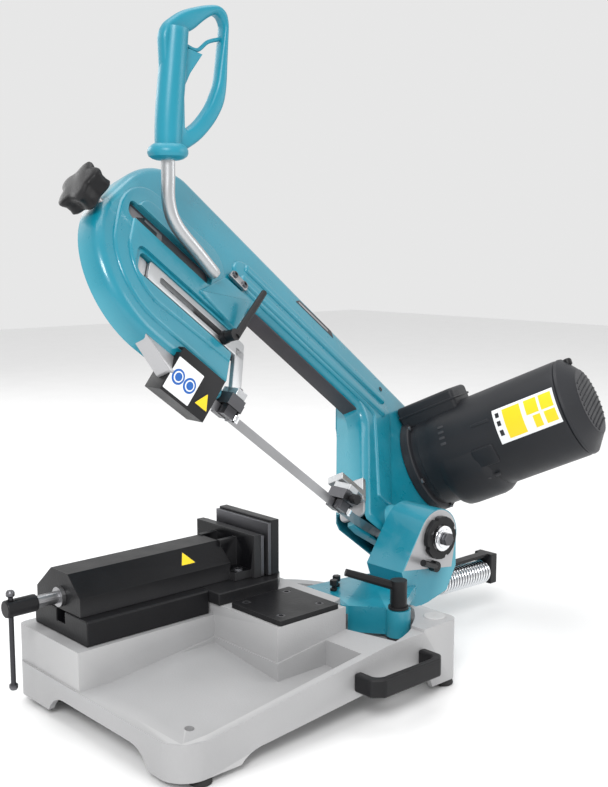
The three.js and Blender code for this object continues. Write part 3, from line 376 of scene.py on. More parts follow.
def carved(piece, cutters):
    """Cuts closed bmeshes, given in the piece's metres, out of a piece."""
    for solid in cutters:
        data = bpy.data.meshes.new("cutter")
        bmesh.ops.recalc_face_normals(solid, faces=solid.faces)
        solid.to_mesh(data)
        solid.free()
        tool = bpy.data.objects.new("cutter", data)
        bpy.context.collection.objects.link(tool)
        modifier = piece.modifiers.new("cut", "BOOLEAN")
        modifier.operation = "DIFFERENCE"
        modifier.solver = "EXACT"
        modifier.object = tool
        graph = bpy.context.evaluated_depsgraph_get()
        result = bpy.data.meshes.new_from_object(piece.evaluated_get(graph))
        piece.modifiers.clear()
        piece.data = result
        bpy.data.objects.remove(tool)
    return piece


def cutter(outline, z0, z1, place):
    bm = bmesh.new()
    prism(bm, outline, z0, z1, top=0)
    bm.transform(place)
    return bm


def slab(name, outline, z0, z1, place, body, material, top=1.0, bottom=0.0, steps=3):
    bm = bmesh.new()
    prism(bm, outline, z0, z1, top, bottom, steps)
    return finished(name, bm, place, body, material)


def turned(name, profile, place, body, material, sides=48):
    bm = bmesh.new()
    lathe(bm, profile, sides)
    return finished(name, bm, place, body, material)


def refined(node, width, segments):
    """Copy of a CAD node with flats merged and every edge bevelled, in its slot's finish."""
    source = frame["nodes"][node]
    slot = source.material_slots[0].material.name.split(".")[0]
    bm = bmesh.new()
    bm.from_mesh(source.data)
    bmesh.ops.remove_doubles(bm, verts=bm.verts, dist=WELD)
    bmesh.ops.dissolve_limit(bm, angle_limit=math.radians(FLAT_WITHIN), verts=bm.verts, edges=bm.edges)
    data = bpy.data.meshes.new(node)
    bm.to_mesh(data)
    bm.free()
    piece = bpy.data.objects.new(f"{node}_shape", data)
    bpy.context.collection.objects.link(piece)
    dress(piece, LOOKS[slot], 60.0)
    bevel = piece.modifiers.new("edges", "BEVEL")
    bevel.width = width * MM
    bevel.segments = segments
    bevel.limit_method = "ANGLE"
    bevel.angle_limit = math.radians(BEVEL_FROM)
    bevel.miter_outer = "MITER_ARC"
    bevel.use_clamp_overlap = True
    weighted = piece.modifiers.new("shading", "WEIGHTED_NORMAL")
    weighted.keep_sharp = True
    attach(piece, BODY_OF[node])
    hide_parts(node)


BODY_OF = {node: body for body, nodes in frame["record"]["behaviour"]["bodies"].items()
           for node in nodes}


MATCHED = {"bow_rear_cover": "teal_paint", "drive_rear_cover": "teal_paint", "trigger": "teal_plastic"}


def paint_frame():
    """Gives each CAD node its own slot's finish, save those painted like their neighbours."""
    for name, node in frame["nodes"].items():
        slot = node.material_slots[0].material.name.split(".")[0]
        node.material_slots[0].material = LOOKS[MATCHED.get(name, slot)]


# ------------------------------------------------------------------ saw bow
DRIVE = (32.0, 115.0)  # drive wheel centre
NOSE = (-545.0, 124.0, 119.0)  # centre and radius
BOW_FRONT, BOW_BACK, DRIVE_BACK = 17, -17, -38  # heights in FACE
WALL = 5
GEAR_CASE = 84.0
LEG_LEFT = -80.0


def bow_outline():
    drive_arc = arc(*DRIVE, 111, -90, 10.1, 16)
    case_arc = arc(*MOTOR_AXIS, GEAR_CASE, -62.9, 100.4, 22)
    return [(-410, 6), (-404, 110), *curve((-404, 110), (-392, 196), (-345, 205), 10),
            *curve((-104, 205), (LEG_LEFT, 205), (LEG_LEFT, 175), 8), (LEG_LEFT, 12),
            (LEG_LEFT + 8, 4), *drive_arc, *case_arc, (84, 296), (64, 305), (-535, 318),
            *curve((-535, 318), (-596, 306), (-632, 226), 14), (-656.8, 164.7),
            *arc(*NOSE, 160, 270, 26)]


def drive_outline():
    outline = bow_outline()
    start = outline.index((LEG_LEFT, 12))
    end = outline.index((64, 305))
    return [(LEG_LEFT, 308.1), *outline[start:end + 1]]


def shell_walls(bm, outline, z0, z1, wall, edge, floor):
    """Open-backed shell: rounded front edge outside, and a front that starts at the floor inside."""
    points = cleaned(outline)
    outer = [ring(bm, points, z0)] + [ring(bm, inset(points, d), z1 + h) for d, h in quarter(edge, 6)]
    inner = [ring(bm, inset(points, wall), z0), ring(bm, inset(points, wall), floor)]
    for lower, upper in zip(outer, outer[1:]):
        bridge(bm, lower, upper)
    bridge(bm, inner[1], inner[0])
    bridge(bm, inner[0], outer[0])
    bm.faces.new(outer[-1])
    bm.faces.new(inner[1])


def tube_walls(bm, outline, z0, z1, wall):
    points = cleaned(outline)
    outer = [ring(bm, points, z) for z in (z0, z1)]
    inner = [ring(bm, inset(points, wall), z) for z in (z0, z1)]
    bridge(bm, *outer)
    bridge(bm, inner[1], inner[0])
    bridge(bm, inner[0], outer[0])
    bridge(bm, outer[1], inner[1])


ARROW_SLOT = rectangle(-624, -464, 155, 185, 12)
GUIDE_SLOT = rectangle(-592, -340, 81, 117, 12)
GUIDE_DISH = rectangle(-600, -340, 75, 122, 15)


def make_bow_casting():
    teal = LOOKS["teal_paint"]
    bm = bmesh.new()
    shell_walls(bm, bow_outline(), BOW_BACK, BOW_FRONT, WALL, 13, 12)
    shell = finished("bow_shell", bm, FACE, "bow", teal)
    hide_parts("bow_casting")
    carved(shell, [cutter(ARROW_SLOT, 2, 40, FACE), cutter(GUIDE_SLOT, 2, 40, FACE),
                   cutter(GUIDE_DISH, 15.6, 40, FACE),
                   cutter(rectangle(-508, -398, -10, 9, 1), -34, 12.5, FACE),
                   cutter(rectangle(-85, 12, -10, 26, 1), -34, 11, FACE),
                   cutter(arc(*MOTOR_AXIS, 14, 0, 345, 23), -60, 60, FACE)])
    dress(shell, teal, SHARP_ANGLE)
    bm = bmesh.new()
    tube_walls(bm, drive_outline(), DRIVE_BACK, BOW_BACK, WALL)
    skirt = finished("drive_skirt", bm, FACE, "bow", teal)
    carved(skirt, [cutter(rectangle(-90, 12, -10, 26, 1), -45, 0, FACE)])
    dress(skirt, teal, SHARP_ANGLE)
    boss = [(0, -26), (29, -26), (31, -24), (31, 26), (0, 26)]
    at = Matrix.Translation((0, 32, 0)) @ turn(90, "X")
    turned("pivot_boss", boss, HINGE @ at, "bow", teal)


def make_bow_relief():
    """Stepped rings round the nose, whose upper edges run over the slot, the long beads of the beam and the
    pad.
    """
    teal = LOOKS["teal_paint"]
    cx, cy, _ = NOSE
    step = [(-411, 30), *arc(cx, cy, 94, 270, 182, 24), (-638, 168),
            *curve((-634, 186), (-616, 232), (-580, 236), 8), (-470, 236),
            *curve((-470, 236), (-444, 234), (-436, 206), 8), (-430, 198), (-399, 197), (-404, 130)]
    outer = slab("nose_ring_outer", step, 14, 20.5, FACE, "bow", teal, top=4.5, steps=5)
    carved(outer, [cutter(ARROW_SLOT, 2, 40, FACE), cutter(GUIDE_SLOT, 2, 40, FACE),
                   cutter(GUIDE_DISH, 17.5, 40, FACE)])
    dress(outer, teal, SHARP_ANGLE)
    step = [(-412, 62), *arc(cx, cy, 70, 262, 184, 20), (-614, 160),
            *curve((-612, 176), (-606, 206), (-588, 209), 8), (-540, 213), (-478, 221),
            *curve((-478, 221), (-460, 222), (-452, 204), 6), (-440, 190), (-406, 120)]
    inner = slab("nose_ring_inner", step, 18, 23.5, FACE, "bow", teal, top=3.6, steps=5)
    carved(inner, [cutter(ARROW_SLOT, 2, 40, FACE), cutter(GUIDE_SLOT, 2, 40, FACE),
                   cutter(GUIDE_DISH, 19.5, 40, FACE)])
    dress(inner, teal, SHARP_ANGLE)
    band = [*curve((-372, 212), (-412, 212), (-420, 236), 6),
            *curve((-420, 240), (-416, 264), (-386, 266), 6),
            *curve((-40, 258), (-10, 256), (-8, 226), 8), (-13, 66),
            *curve((-14, 58), (-32, 52), (-50, 58), 6),
            (-56, 180), *curve((-58, 208), (-66, 214), (-96, 214), 8)]
    slab("beam_band", band, 14, 20.5, FACE, "bow", teal, top=4.2, steps=5)
    for k, (left, low, high) in enumerate(((-398, 246, 262), (-404, 219, 236))):
        bead = rectangle(left, -30, low, high, 7.5)
        slab(f"beam_bead_{k}", bead, 18, 24, FACE, "bow", teal, top=4.5, steps=5)
    pad = rounded([(-487, 130), (-441, 194), (-382, 196), (-409, 119)], 5)
    slab("beam_pad", pad, 16, 26.5, FACE, "bow", teal, top=2.4, steps=4)
    dish = rounded([(-430, 208), (-425, 223), (-390, 221), (-394, 206)], 4)
    slab("bolt_recess", dish, 20, 24.4, FACE, "bow", LOOKS["steel"], top=0.8)
    head = [(0, 0), (5.2, 0), (5.2, 2.6), (4.5, 3.2), (2.6, 3.2), (2.4, 1.2), (0, 1.2)]
    for k, at in enumerate(((-421, 216), (-400, 214))):
        place = FACE @ Matrix.Translation((*at, 24))
        turned(f"beam_bolt_{k}", head, place, "bow", LOOKS["dark_steel"], 24)
    # the slit's floor is near-black: painted shade inside the slit
    slit = rounded([(-272, 290), (-262, 300), (-176, 301), (-170, 290)], 3)
    slab("beam_slit", slit, 10, 17.3, FACE, "bow", PAINTED_SHADE, top=0.2)
    slab("beam_slit_plate", rectangle(-264, -186, 292.4, 296.2, 1.5), 12, 17.6, FACE, "bow", LOOKS["steel"],
         top=0.2)
    # near-black disc for the plug's hole: painted shade
    screw_hole = [(0, 0), (4, 0), (4, 1.6), (3.4, 2), (2, 2), (1.8, 0.6), (0, 0.6)]
    turned("beam_plug", screw_hole, FACE @ Matrix.Translation((-34, 280, 16.2)), "bow", PAINTED_SHADE, 24)
    slab("beam_under_cover", rectangle(-362, -86, 202.4, 205.2, 1), BOW_BACK, 8, FACE, "bow",
         LOOKS["cover_paint"], top=0.8)
    arrow = [(-604, 170), (-590, 181), (-590, 175), (-566, 175), (-566, 165), (-590, 165), (-590, 159)]
    slab("tension_plate", rectangle(-626, -462, 153, 187, 8), 9.2, 13.6, FACE, "bow", LOOKS["cover_paint"],
         top=0.6)
    slab("tension_scale", rectangle(-618, -556, 160, 180, 2), 13, 14.2, FACE, "bow", LABEL_GREY, top=0.3)
    slab("tension_arrow", arrow, 14, 14.8, FACE, "bow", LABEL_BLACK, top=0.2)
    # near-black window and trough floor: painted shade in the openings
    slab("tension_window", rectangle(-548, -474, 164, 177, 5), 13, 14.0, FACE, "bow", PAINTED_SHADE, top=0.3)
    slab("guide_trough", rectangle(-594, -386, 80, 118, 8), 9.4, 11.6, FACE, "bow", PAINTED_SHADE, top=0.4)
    slab("guide_trough_end", rectangle(-590, -574, 86, 114, 6), 11, 14.5, FACE, "bow", MACHINED, top=1.2)


def make_guide_arm():
    """Wide slotted bar that lies in the trough, and the arm that drops to the blade guide."""
    metal = LOOKS["bright_aluminium"]
    bar = slab("guide_bar", rectangle(-573, -383, 84, 115, 5), 12, 19, FACE, "guide_arm", metal, top=0.8)
    carved(bar, [cutter(rectangle(-552, -424, 92, 104, 5.5), 8, 30, FACE)])
    dress(bar, metal, SHARP_ANGLE)
    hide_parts("guide_arm")
    slab("guide_drop", rectangle(-400, -382, 20, 99, 3), 12.3, 19, FACE, "guide_arm", metal, top=0.8)
    foot = HINGE @ Matrix.Translation((0, BLADE_Y, -BLADE_DROP))
    slab("guide_foot", rectangle(-400, -382, -16, 16, 2), 24.3, 34, foot, "guide_arm", metal,
         top=1, bottom=1)
    screw = [(0, -3), (3.6, -3), (3.6, 3.4), (3, 4), (1.6, 4), (1.4, 2.6), (0, 2.6)]
    for k, y in enumerate((-8, 8)):
        turned(f"guide_foot_screw_{k}", screw, foot @ Matrix.Translation((-391, y, 33)), "guide_arm",
               LOOKS["dark_steel"], 24)


def make_leg_details():
    """Machined pad on the inner side of the leg, liner behind the blade, and the lip below it."""
    side = facing(BOW, (LEG_LEFT - 0.2, 0, 0), (-1, 0, 0))
    slab("leg_pad", rectangle(-30, 13, 8, 76, 12), -2, 1.6, side, "bow", MACHINED, top=0.8)
    slab("leg_liner", [(-76, 6), (-76, 62), (40, 62), (40, 8)], -15, -12.2, FACE, "bow",
         LOOKS["teal_paint"], top=0.5)
    slab("leg_lip", [(-79.8, 5), (-79.8, -2), (-60, -4), (-20, 2), (4, 5)], -17, -6, FACE, "bow",
         LOOKS["teal_paint"], top=1)


def make_guard_end():
    """Closed left end of the guard and the light wheel shield beside it."""
    end = facing(UPRIGHT, (-504, 0, 0), (-1, 0, 0))
    slab("guard_end", rectangle(-15.8, 15.8, -33, 20, 1.5), -2, 0.4, end, "bow",
         LOOKS["black_plastic"], top=0.3)
    shield = rounded([(-556, 8), (-500, 8), (-500, -16), (-508, -17)], 3)
    slab("wheel_shield", shield, -9, 12, FACE, "bow", MACHINED, top=0.8)


# ------------------------------------------------------------------ motor
def make_motor():
    plastic = LOOKS["motor_plastic"]
    profile = [(60, 17.4), (81, 17.4), (82, 18.6), (82, 31), (80.4, 33), (74, 35), (60, 35)]
    flange = turned("motor_flange_shape", profile, MOTOR, "bow", plastic, 72)
    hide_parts("motor_flange")
    profile = [(60, 34), (74.5, 34), (75, 44), (76.4, 45), (76.4, 62), (77.6, 66), (78.4, 84), (79, 92),
               (79, 286), (78.2, 290), (76, 292), (60, 292)]
    shell = turned("motor_shell_shape", profile, MOTOR, "bow", plastic, 96)
    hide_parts("motor_shell")
    swell = [(66, 66), (74, 68), (78, 74), (79, 84), (79, 132), (77, 142), (72, 150), (66, 153)]
    turned("motor_swell", swell, MOTOR @ Matrix.Translation((7, -8, 0)), "bow", plastic, 96)
    profile = [(20, 292.4), (78.4, 292.4), (79, 293.4), (78.2, 297), (53, 317), (20, 317)]
    cap = turned("motor_cap_shape", profile, MOTOR, "bow", plastic, 96)
    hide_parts("motor_end_cap")
    profile = [(0, 306), (54, 306), (54, 316.8), (52, 317.6), (0, 317.6)]
    turned("motor_cap_disc", profile, MOTOR, "bow", plastic, 72)
    for k in range(11):
        x = -40 + 8 * k
        reach = math.sqrt(max(0, 50 ** 2 - x * x))
        rib = rectangle(x - 1.6, x + 1.6, -reach, reach, 1.5)
        place = MOTOR @ turn(-38, "Z")
        slab(f"cap_rib_{k}", rib, 314, 319.5, place, "bow", plastic, top=1.2)
    crown = MOTOR @ turn(42, "Z")
    lid = rectangle(-36, 36, 60, 103, 9, 7)
    terminal = slab("terminal_box_shape", lid, 20, 124, crown, "bow", plastic, top=7, bottom=4, steps=5)
    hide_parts("terminal_box")
    slab("terminal_lid", rectangle(-37, 37, 84, 88, 1.5), 19, 125, crown, "bow", plastic, top=2, bottom=2)
    for k in range(5):
        a = math.radians(21 + 72 * k)
        place = MOTOR @ Matrix.Translation((78 * math.cos(a), 78 * math.sin(a), 33))
        turned(f"flange_screw_{k}", [(0, 0), (4.2, 0), (4.2, 3), (3.4, 3.8), (2, 3.8), (1.8, 2), (0, 2)],
               place, "bow", LOOKS["dark_steel"], 24)


def on_motor(angle, along, radius=79.0):
    """Frame on the motor's skin: x runs round it, y out along it, z outward."""
    a = math.radians(angle)
    normal = Vector((math.cos(a), math.sin(a), 0))
    return facing(MOTOR, normal * radius + Vector((0, 0, along)), normal, (0, 0, 1))


def make_motor_details():
    plastic = LOOKS["motor_plastic"]
    # near-black vent and slit patches: painted shade standing for the openings
    for k in range(4):
        place = on_motor(VENT["angle"] + 7.2 * k, VENT["along"], 79)
        slab(f"motor_vent_{k}", rectangle(-2.2, 2.2, -5, 5, 2), -2, 0.6, place, "bow", PAINTED_SHADE, top=0.3)
    for k, along in enumerate((137, 153)):
        place = on_motor(262, along, 84)
        slab(f"motor_slit_{k}", rectangle(-2, 2, -4, 4, 1.8), -3, 0.6, place, "bow", PAINTED_SHADE, top=0.3)
    place = on_motor(PANEL["angle"], PANEL["along"], 78.5)
    slab("motor_panel", rectangle(-16, 16, -19, 19, 5), -4, 2.4, place, "bow", plastic, top=1.6)
    place = on_motor(SLOT["angle"], SLOT["along"], 78.6)
    slab("motor_slot", rectangle(-2.6, 2.6, -16, 16, 2.4), -4, 1.3, place, "bow", plastic, top=0.8)
    sheet = bmesh.new()
    patch(sheet, STICKER, 79.35)
    finished("motor_label", sheet, MOTOR, "bow", LABEL_WHITE)
    for k, cell in enumerate(STICKER_CELLS):
        sheet = bmesh.new()
        patch(sheet, cell_region(cell), 79.6)
        finished(f"motor_label_cell_{k}", sheet, MOTOR, "bow",
                 LABEL_YELLOW if k < YELLOW_CELLS else LABEL_BLACK)
    knob = [(0, -6), (5, -6), (5, 2), (4, 4), (6.4, 5), (7, 7), (7, 13), (5.6, 15), (0, 15)]
    turned("motor_vent_knob", knob, on_motor(118, 303, 62), "bow", LOOKS["black_plastic"], 32)


VENT = {"angle": 183.5, "along": 92}
PANEL = {"angle": 236, "along": 150}
SLOT = {"angle": 198, "along": 160}
STICKER = {"from": 189, "to": 230, "low": 184, "high": 287}
STICKER_CELLS = [(0.16, 0.45, 0.08, 0.92), (0.52, 0.72, 0.08, 0.5), (0.76, 0.96, 0.08, 0.5),
                 (0.6, 0.72, 0.56, 0.9), (0.78, 0.96, 0.56, 0.9),
                 (0.04, 0.1, 0.12, 0.26), (0.04, 0.1, 0.36, 0.5), (0.04, 0.1, 0.62, 0.78)]
YELLOW_CELLS = 5
STICKER_THICK = 0.4
STICKER_STEPS = 16


def cell_region(cell):
    left, right, low, high = cell
    wide, tall = STICKER["high"] - STICKER["low"], STICKER["to"] - STICKER["from"]
    return {"low": STICKER["low"] + wide * left, "high": STICKER["low"] + wide * right,
            "from": STICKER["from"] + tall * low, "to": STICKER["from"] + tall * high}


def patch(bm, region, radius):
    """Thin curved plate on the motor between two angles and two distances along it."""
    rings = []
    for r in (radius - STICKER_THICK, radius):
        side = []
        for along in (region["low"], region["high"]):
            row = []
            for k in range(STICKER_STEPS + 1):
                turned_by = (region["to"] - region["from"]) * k / STICKER_STEPS
                a = math.radians(region["from"] + turned_by)
                row.append(bm.verts.new((r * math.cos(a), r * math.sin(a), along)))
            side.append(row)
        rings.append(side[0] + side[1][::-1])
    bridge(bm, *rings)
    count = STICKER_STEPS + 1
    for loop in rings:
        for k in range(STICKER_STEPS):
            bm.faces.new((loop[k], loop[k + 1], loop[2 * count - 2 - k], loop[2 * count - 1 - k]))


# ------------------------------------------------------------------ handle
HANDLE = Vector((-76, 73, 0))


def make_handle():
    inward = DRAWING.inverted() @ BOW
    low = inward @ Vector((-470, -35, 166.5))
    bend = inward @ Vector((-572, -44, 178))
    along = low.lerp(bend, 0.88)
    base = HANDLE + Vector((0, 0, 690))
    knee = HANDLE + Vector((0, 0, 652))
    path = smooth_path([low, low.lerp(bend, 0.4), along, knee, base, HANDLE + Vector((0, 0, 742))], 10)
    radii = [9.0] * len(path)
    for k, radius in enumerate((4.5, 7.6, 8.8)):
        radii[k] = radius
    path[1] = path[0].lerp(path[1], 0.12)
    path[2] = path[0].lerp(path[3], 0.3)
    bm = bmesh.new()
    sweep(bm, path, radii, 32)
    tube = finished("handle_tube_shape", bm, DRAWING, "bow", LOOKS["bright_aluminium"], 50)
    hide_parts("handle_tube")
    teal = LOOKS["teal_plastic"]
    place = DRAWING @ Matrix.Translation(HANDLE) @ turn(90, "X")
    bm = bmesh.new()
    loop_body(bm)
    loop = finished("handle_loop", bm, place, "bow", teal, 60)
    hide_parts("handle_grip")
    rise = [Vector(p) for p in ((0, 0, 708), (1, 0, 735), (3, 0, 765), (7, 0, 800), (11, 0, 835),
                                (15, 0, 868))]
    path = smooth_path(rise, 5)
    radii = [18.0 + 1.3 * math.sin(math.pi * k / (len(path) - 1)) for k in range(len(path))]
    bm = bmesh.new()
    sweep(bm, path, radii, 36, 0.92)
    finished("handle_grip_body", bm, DRAWING @ Matrix.Translation(HANDLE), "bow", teal, 60)
    cuff = [(0, 705), (15, 705), (20, 706.5), (24.5, 709.5), (26, 713), (26, 717), (24, 721), (19, 725),
            (0, 725)]
    turned("handle_cuff", cuff, DRAWING @ Matrix.Translation(HANDLE), "bow", teal, 64)
    rod = [Vector(p) for p in ((22, 853, 0), (47, 845.5, 0), (66, 858, 0), (91, 865, 0))]
    path = smooth_path(rod, 8)
    bm = bmesh.new()
    sweep(bm, path, [2.6] * len(path), 16)
    finished("handle_bridge", bm, place, "bow", teal, 60)


LOOP_OUTER = [(0, 716), (20, 716), (48, 732), (72, 756), (87, 780), (92, 806), (94.5, 855), (96, 884),
              (93, 897), (86, 903), (76, 905), (58, 902), (24, 892), (-2, 874), (-10, 860), (-8, 800)]
LOOP_INNER = [(22, 741), (44, 756), (63, 778), (76, 806), (84, 855), (88, 880), (82, 890), (74, 893),
              (58, 884), (38, 868), (24, 862)]
LOOP_CENTRE = Vector((52, 822))
LOOP_SECTIONS = 160
LOOP_HALF = 9.5
LOOP_CORNER = 6.5


def ray_reach(outline, direction):
    """Distance from the loop's centre to an outline along a direction."""
    best = 0.0
    for k in range(len(outline)):
        a, b = outline[k - 1] - LOOP_CENTRE, outline[k] - LOOP_CENTRE
        edge = b - a
        cross = direction.x * edge.y - direction.y * edge.x
        if abs(cross) < 1e-9:
            continue
        reach = (a.x * edge.y - a.y * edge.x) / cross
        where = (a.x * direction.y - a.y * direction.x) / cross
        if reach > 0 and -1e-6 <= where <= 1 + 1e-6:
            best = max(best, reach)
    return best


def loop_body(bm):
    """Ring of rounded cross-sections between the inner and outer outlines of the grip."""
    outer = cleaned(rounded(LOOP_OUTER, 16))
    inner = cleaned(rounded(LOOP_INNER, 10))
    rows = []
    for k in range(LOOP_SECTIONS):
        a = 2 * math.pi * k / LOOP_SECTIONS
        direction = Vector((math.cos(a), math.sin(a)))
        near, far = ray_reach(inner, direction), ray_reach(outer, direction)
        round_off = min(LOOP_CORNER, (far - near) * 0.48)
        section = []
        rise = LOOP_HALF - round_off
        for cx, cz, start in ((far - round_off, rise, 0), (near + round_off, rise, 90),
                              (near + round_off, -rise, 180), (far - round_off, -rise, 270)):
            for j in range(5):
                t = math.radians(start + 90 * j / 4)
                section.append((cx + round_off * math.cos(t), cz + round_off * math.sin(t)))
        rows.append([bm.verts.new((*(LOOP_CENTRE + direction * r), z)) for r, z in section])
    for k in range(LOOP_SECTIONS):
        bridge(bm, rows[k], rows[(k + 1) % LOOP_SECTIONS])


# ------------------------------------------------------------------ knob, spring, bracket, labels, base
def make_knob():
    rings = []
    bm = bmesh.new()
    for height, size in ((0, 0.72), (1.5, 0.86), (4, 0.93), (9, 0.9), (16, 0.91), (21, 0.98), (24, 1.0),
                         (26.5, 0.97), (28, 0.88), (28.6, 0.7)):
        points = []
        for k in range(100):
            a = 2 * math.pi * k / 100
            radius = size * (31 + 4.5 * math.cos(5 * a)) - 0.4
            points.append(Vector((radius * math.cos(a), radius * math.sin(a))))
        rings.append(ring(bm, points, height - 3.6))
    for lower, upper in zip(rings, rings[1:]):
        bridge(bm, lower, upper)
    bm.faces.new(rings[-1])
    bm.faces.new(rings[0][::-1])
    place = facing(BOW, (-673, -5.6, 152), (-1, 0, 0))
    knob = finished("tension_knob_shape", bm, place, "tension_knob", LOOKS["black_plastic"], 40)
    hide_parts("tension_knob")
    stem = [(0, -36), (6, -36), (6, -2), (15, -2), (15, 4), (0, 4)]
    seat = place @ Matrix.Translation((0, 0, -4))
    turned("tension_screw", stem, seat, "tension_knob", LOOKS["steel"], 32)


def make_spring():
    turns, coil, wire = 17, 16.9, 2.1
    start, end = Vector((352, -20, 79)), Vector((462, -20, 76))
    axis = (end - start).normalized()
    side = Vector((0, 1, 0))
    up = side.cross(axis)
    path = []
    steps = turns * 22
    for k in range(steps + 1):
        a = 2 * math.pi * turns * k / steps
        path.append(start.lerp(end, k / steps) + side * (coil * math.cos(a)) + up * (coil * math.sin(a)))
    bm = bmesh.new()
    sweep(bm, path, [wire] * len(path), 8)
    spring = finished("spring_coil", bm, DRAWING, "swivel", LOOKS["chrome"], 60)
    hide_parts("balance_spring")
    place = facing(DRAWING, start, axis)
    turned("spring_rod", [(0, -12), (6, -12), (6, 112), (0, 112)], place, "swivel", LOOKS["dark_steel"], 24)


def make_bracket_face():
    px, pz = PIVOT.x, PIVOT.z
    outline = [(224, 136), (328, 121.5), *arc(px, pz, 40.4, -14, 152, 30)]
    slab("machined_face", outline, 66, 67.22, TOWER, "swivel", MACHINED, top=0.15)


def make_labels():
    tunnel = facing(DRAWING, (-53, 78.5, 175), (0, -26, 29), (0, 0, 1))
    warning_triangle("vice", tunnel, 15, "moving_jaw")
    plate = facing(UPRIGHT, (-480, -16.2, -7), (0, -1, 0), (0, 0, 1))
    slab("guard_label", rectangle(-23, 23, -22, 22, 1.5), -0.3, 0.5, plate, "bow", LABEL_WHITE, top=0.1)
    for k, side in enumerate((-10.5, 10.5)):
        at = plate @ Matrix.Translation((side, 0, 0.4))
        turned(f"guard_sign_{k}", [(0, 0), (10, 0), (10, 0.5), (0, 0.5)], at, "bow", LABEL_BLUE, 40)
        disc = [(0, 0.3), (7.2, 0.3), (7.2, 0.9), (0, 0.9)]
        turned(f"guard_sign_ring_{k}", disc, at, "bow", LABEL_WHITE, 40)
        disc = [(0, 0.6), (5.4, 0.6), (5.4, 1.2), (0, 1.2)]
        turned(f"guard_sign_dot_{k}", disc, at, "bow", LABEL_BLUE, 40)
    corner = facing(UPRIGHT, (-439, -16.2, -13), (0, -1, 0), (0, 0, 1))
    warning_triangle("guard", corner, 15, "bow")


def warning_triangle(name, place, size, body):
    for part, scale, z, material in (("border", 1.0, 0.5, LABEL_BLACK), ("field", 0.86, 0.8, LABEL_YELLOW)):
        corners = [(size * scale * math.cos(math.radians(a)), size * scale * math.sin(math.radians(a)))
                   for a in (90, 210, 330)]
        slab(f"{name}_triangle_{part}", rounded(corners, 1.5), -0.2, z, place, body, material, top=0.1)


def make_refined():
    widths = {
        "base_casting": (2.6, 3), "carry_handle": (3.0, 3), "table_plate": (1.2, 2),
        "vice_bed": (1.5, 2), "vice_slideway": (1.2, 2), "fixed_jaw": (1.2, 2),
        "fixed_jaw_face": (0.7, 2), "moving_jaw": (1.6, 3), "moving_jaw_face": (0.7, 2),
        "screw_hub": (1.5, 3), "swivel_bracket": (2.2, 3), "ring_nut": (0.9, 2),
        "spring_bracket": (1.5, 2), "clamp_stud": (0.6, 2), "mitre_clamp_lever": (1.2, 2),
        "latch_lever": (1.0, 2), "bow_rear_cover": (1.0, 2), "drive_rear_cover": (1.0, 2),
        "blade_guard": (0.6, 2), "drive_guide_bracket": (1.0, 2), "drive_guide_knob": (0.8, 2),
        "idle_guide_block": (0.8, 2), "drive_guide_block": (0.8, 2), "guide_clamp_lever": (1.2, 2),
        "pivot_washer": (0.6, 2), "pivot_bolt": (0.9, 2), "trigger": (0.8, 2),
        "foot_front_left": (0.8, 2), "foot_front_right": (0.8, 2), "foot_rear_left": (0.8, 2),
        "foot_rear_right": (0.8, 2), "stop_screw_front": (0.5, 2), "stop_screw_rear": (0.5, 2),
        "tension_slide": (0.6, 2),
    }
    for node, (width, segments) in widths.items():
        refined(node, width, segments)


def make_base_details():
    pad = [(0, 0), (15, 0), (15, 0.8), (14, 1.6), (0, 1.6)]
    place = DRAWING @ Matrix.Translation((202, -144, 93.8))
    turned("horn_pad", pad, place, "base", LOOKS["grey_paint"], 48)
    head = [(0, 0), (6.2, 0), (6.2, 2.4), (5.6, 2.9), (3.2, 2.9), (3.0, 0.8), (0, 0.8)]
    for k, (x, y) in enumerate(((-14, -72), (55, -70), (-14, -2), (55, -4))):
        place = DRAWING @ Matrix.Translation((x, y, 124.9))
        turned(f"table_screw_{k}", head, place, "base", LOOKS["dark_steel"], 36)
    for k, (x, y) in enumerate(((22, 60), (22, 160))):
        turned(f"jaw_bolt_{k}", head, DRAWING @ Matrix.Translation((x, y, 150)), "moving_jaw",
               LOOKS["dark_steel"], 36)


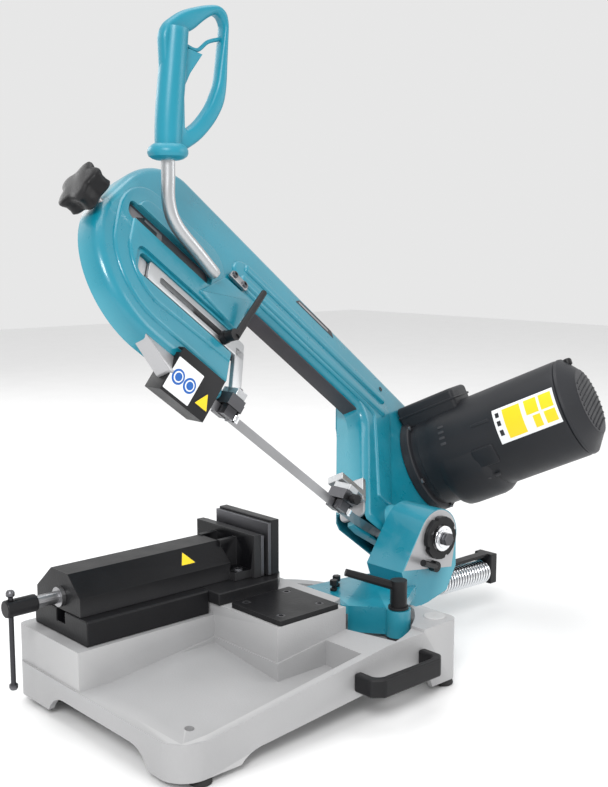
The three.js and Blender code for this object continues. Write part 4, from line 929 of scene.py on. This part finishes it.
# ------------------------------------------------------------------ stage
def make_stage():
    bm = bmesh.new()
    reach = 6.0
    for x, y in ((-reach, -reach), (reach, -reach), (reach, reach), (-reach, reach)):
        bm.verts.new((x, y, 0))
    bm.faces.new(bm.verts)
    data = bpy.data.meshes.new("floor")
    bm.to_mesh(data)
    bm.free()
    floor = bpy.data.objects.new("floor", data)
    data.materials.append(look("floor", (0.86, 0.86, 0.86), 0.7, vary=0.01, bump=0.01))
    bpy.context.collection.objects.link(floor)


def make_light(name, place, target, size, power):
    data = bpy.data.lights.new(name, "AREA")
    data.shape = "RECTANGLE"
    data.size, data.size_y = size
    data.energy = power
    lamp = bpy.data.objects.new(name, data)
    lamp.location = place
    lamp.rotation_euler = (Vector(target) - Vector(place)).to_track_quat("-Z", "Y").to_euler()
    bpy.context.collection.objects.link(lamp)


def make_studio():
    make_light("key", (-2.4, -2.0, 2.4), (0, 0, 0.4), (1.2, 1.0), 78)
    make_light("fill", (2.6, -1.8, 1.5), (0.1, 0, 0.4), (1.6, 1.6), 20)
    make_light("top", (0.1, 0.4, 3.0), (0, 0, 0.3), (2.4, 2.0), 34)
    make_light("rim", (-0.6, 2.8, 1.6), (0, 0, 0.5), (2.0, 1.0), 20)
    world = bpy.data.worlds.new("studio")
    world.use_nodes = True
    world.node_tree.nodes["Background"].inputs["Color"].default_value = (1, 1, 1, 1)
    world.node_tree.nodes["Background"].inputs["Strength"].default_value = 0.8
    bpy.context.scene.world = world
    bpy.context.scene.view_settings.view_transform = "Standard"


def make_camera():
    data = bpy.data.cameras.new("photo_angle")
    data.lens = 49.8
    camera = bpy.data.objects.new("photo_angle", data)
    camera.location = DRAWING @ Vector((-897, -1086.3, 600))
    camera.rotation_euler = (math.radians(82.16), 0, math.radians(-42.29))
    bpy.context.collection.objects.link(camera)
    bpy.context.scene.camera = camera


paint_frame()
make_camera()
make_bow_casting()
make_bow_relief()
make_guide_arm()
make_leg_details()
make_guard_end()
make_motor()
make_motor_details()
make_handle()
make_knob()
make_spring()
make_bracket_face()
make_refined()
make_labels()
make_base_details()
make_stage()
make_studio()
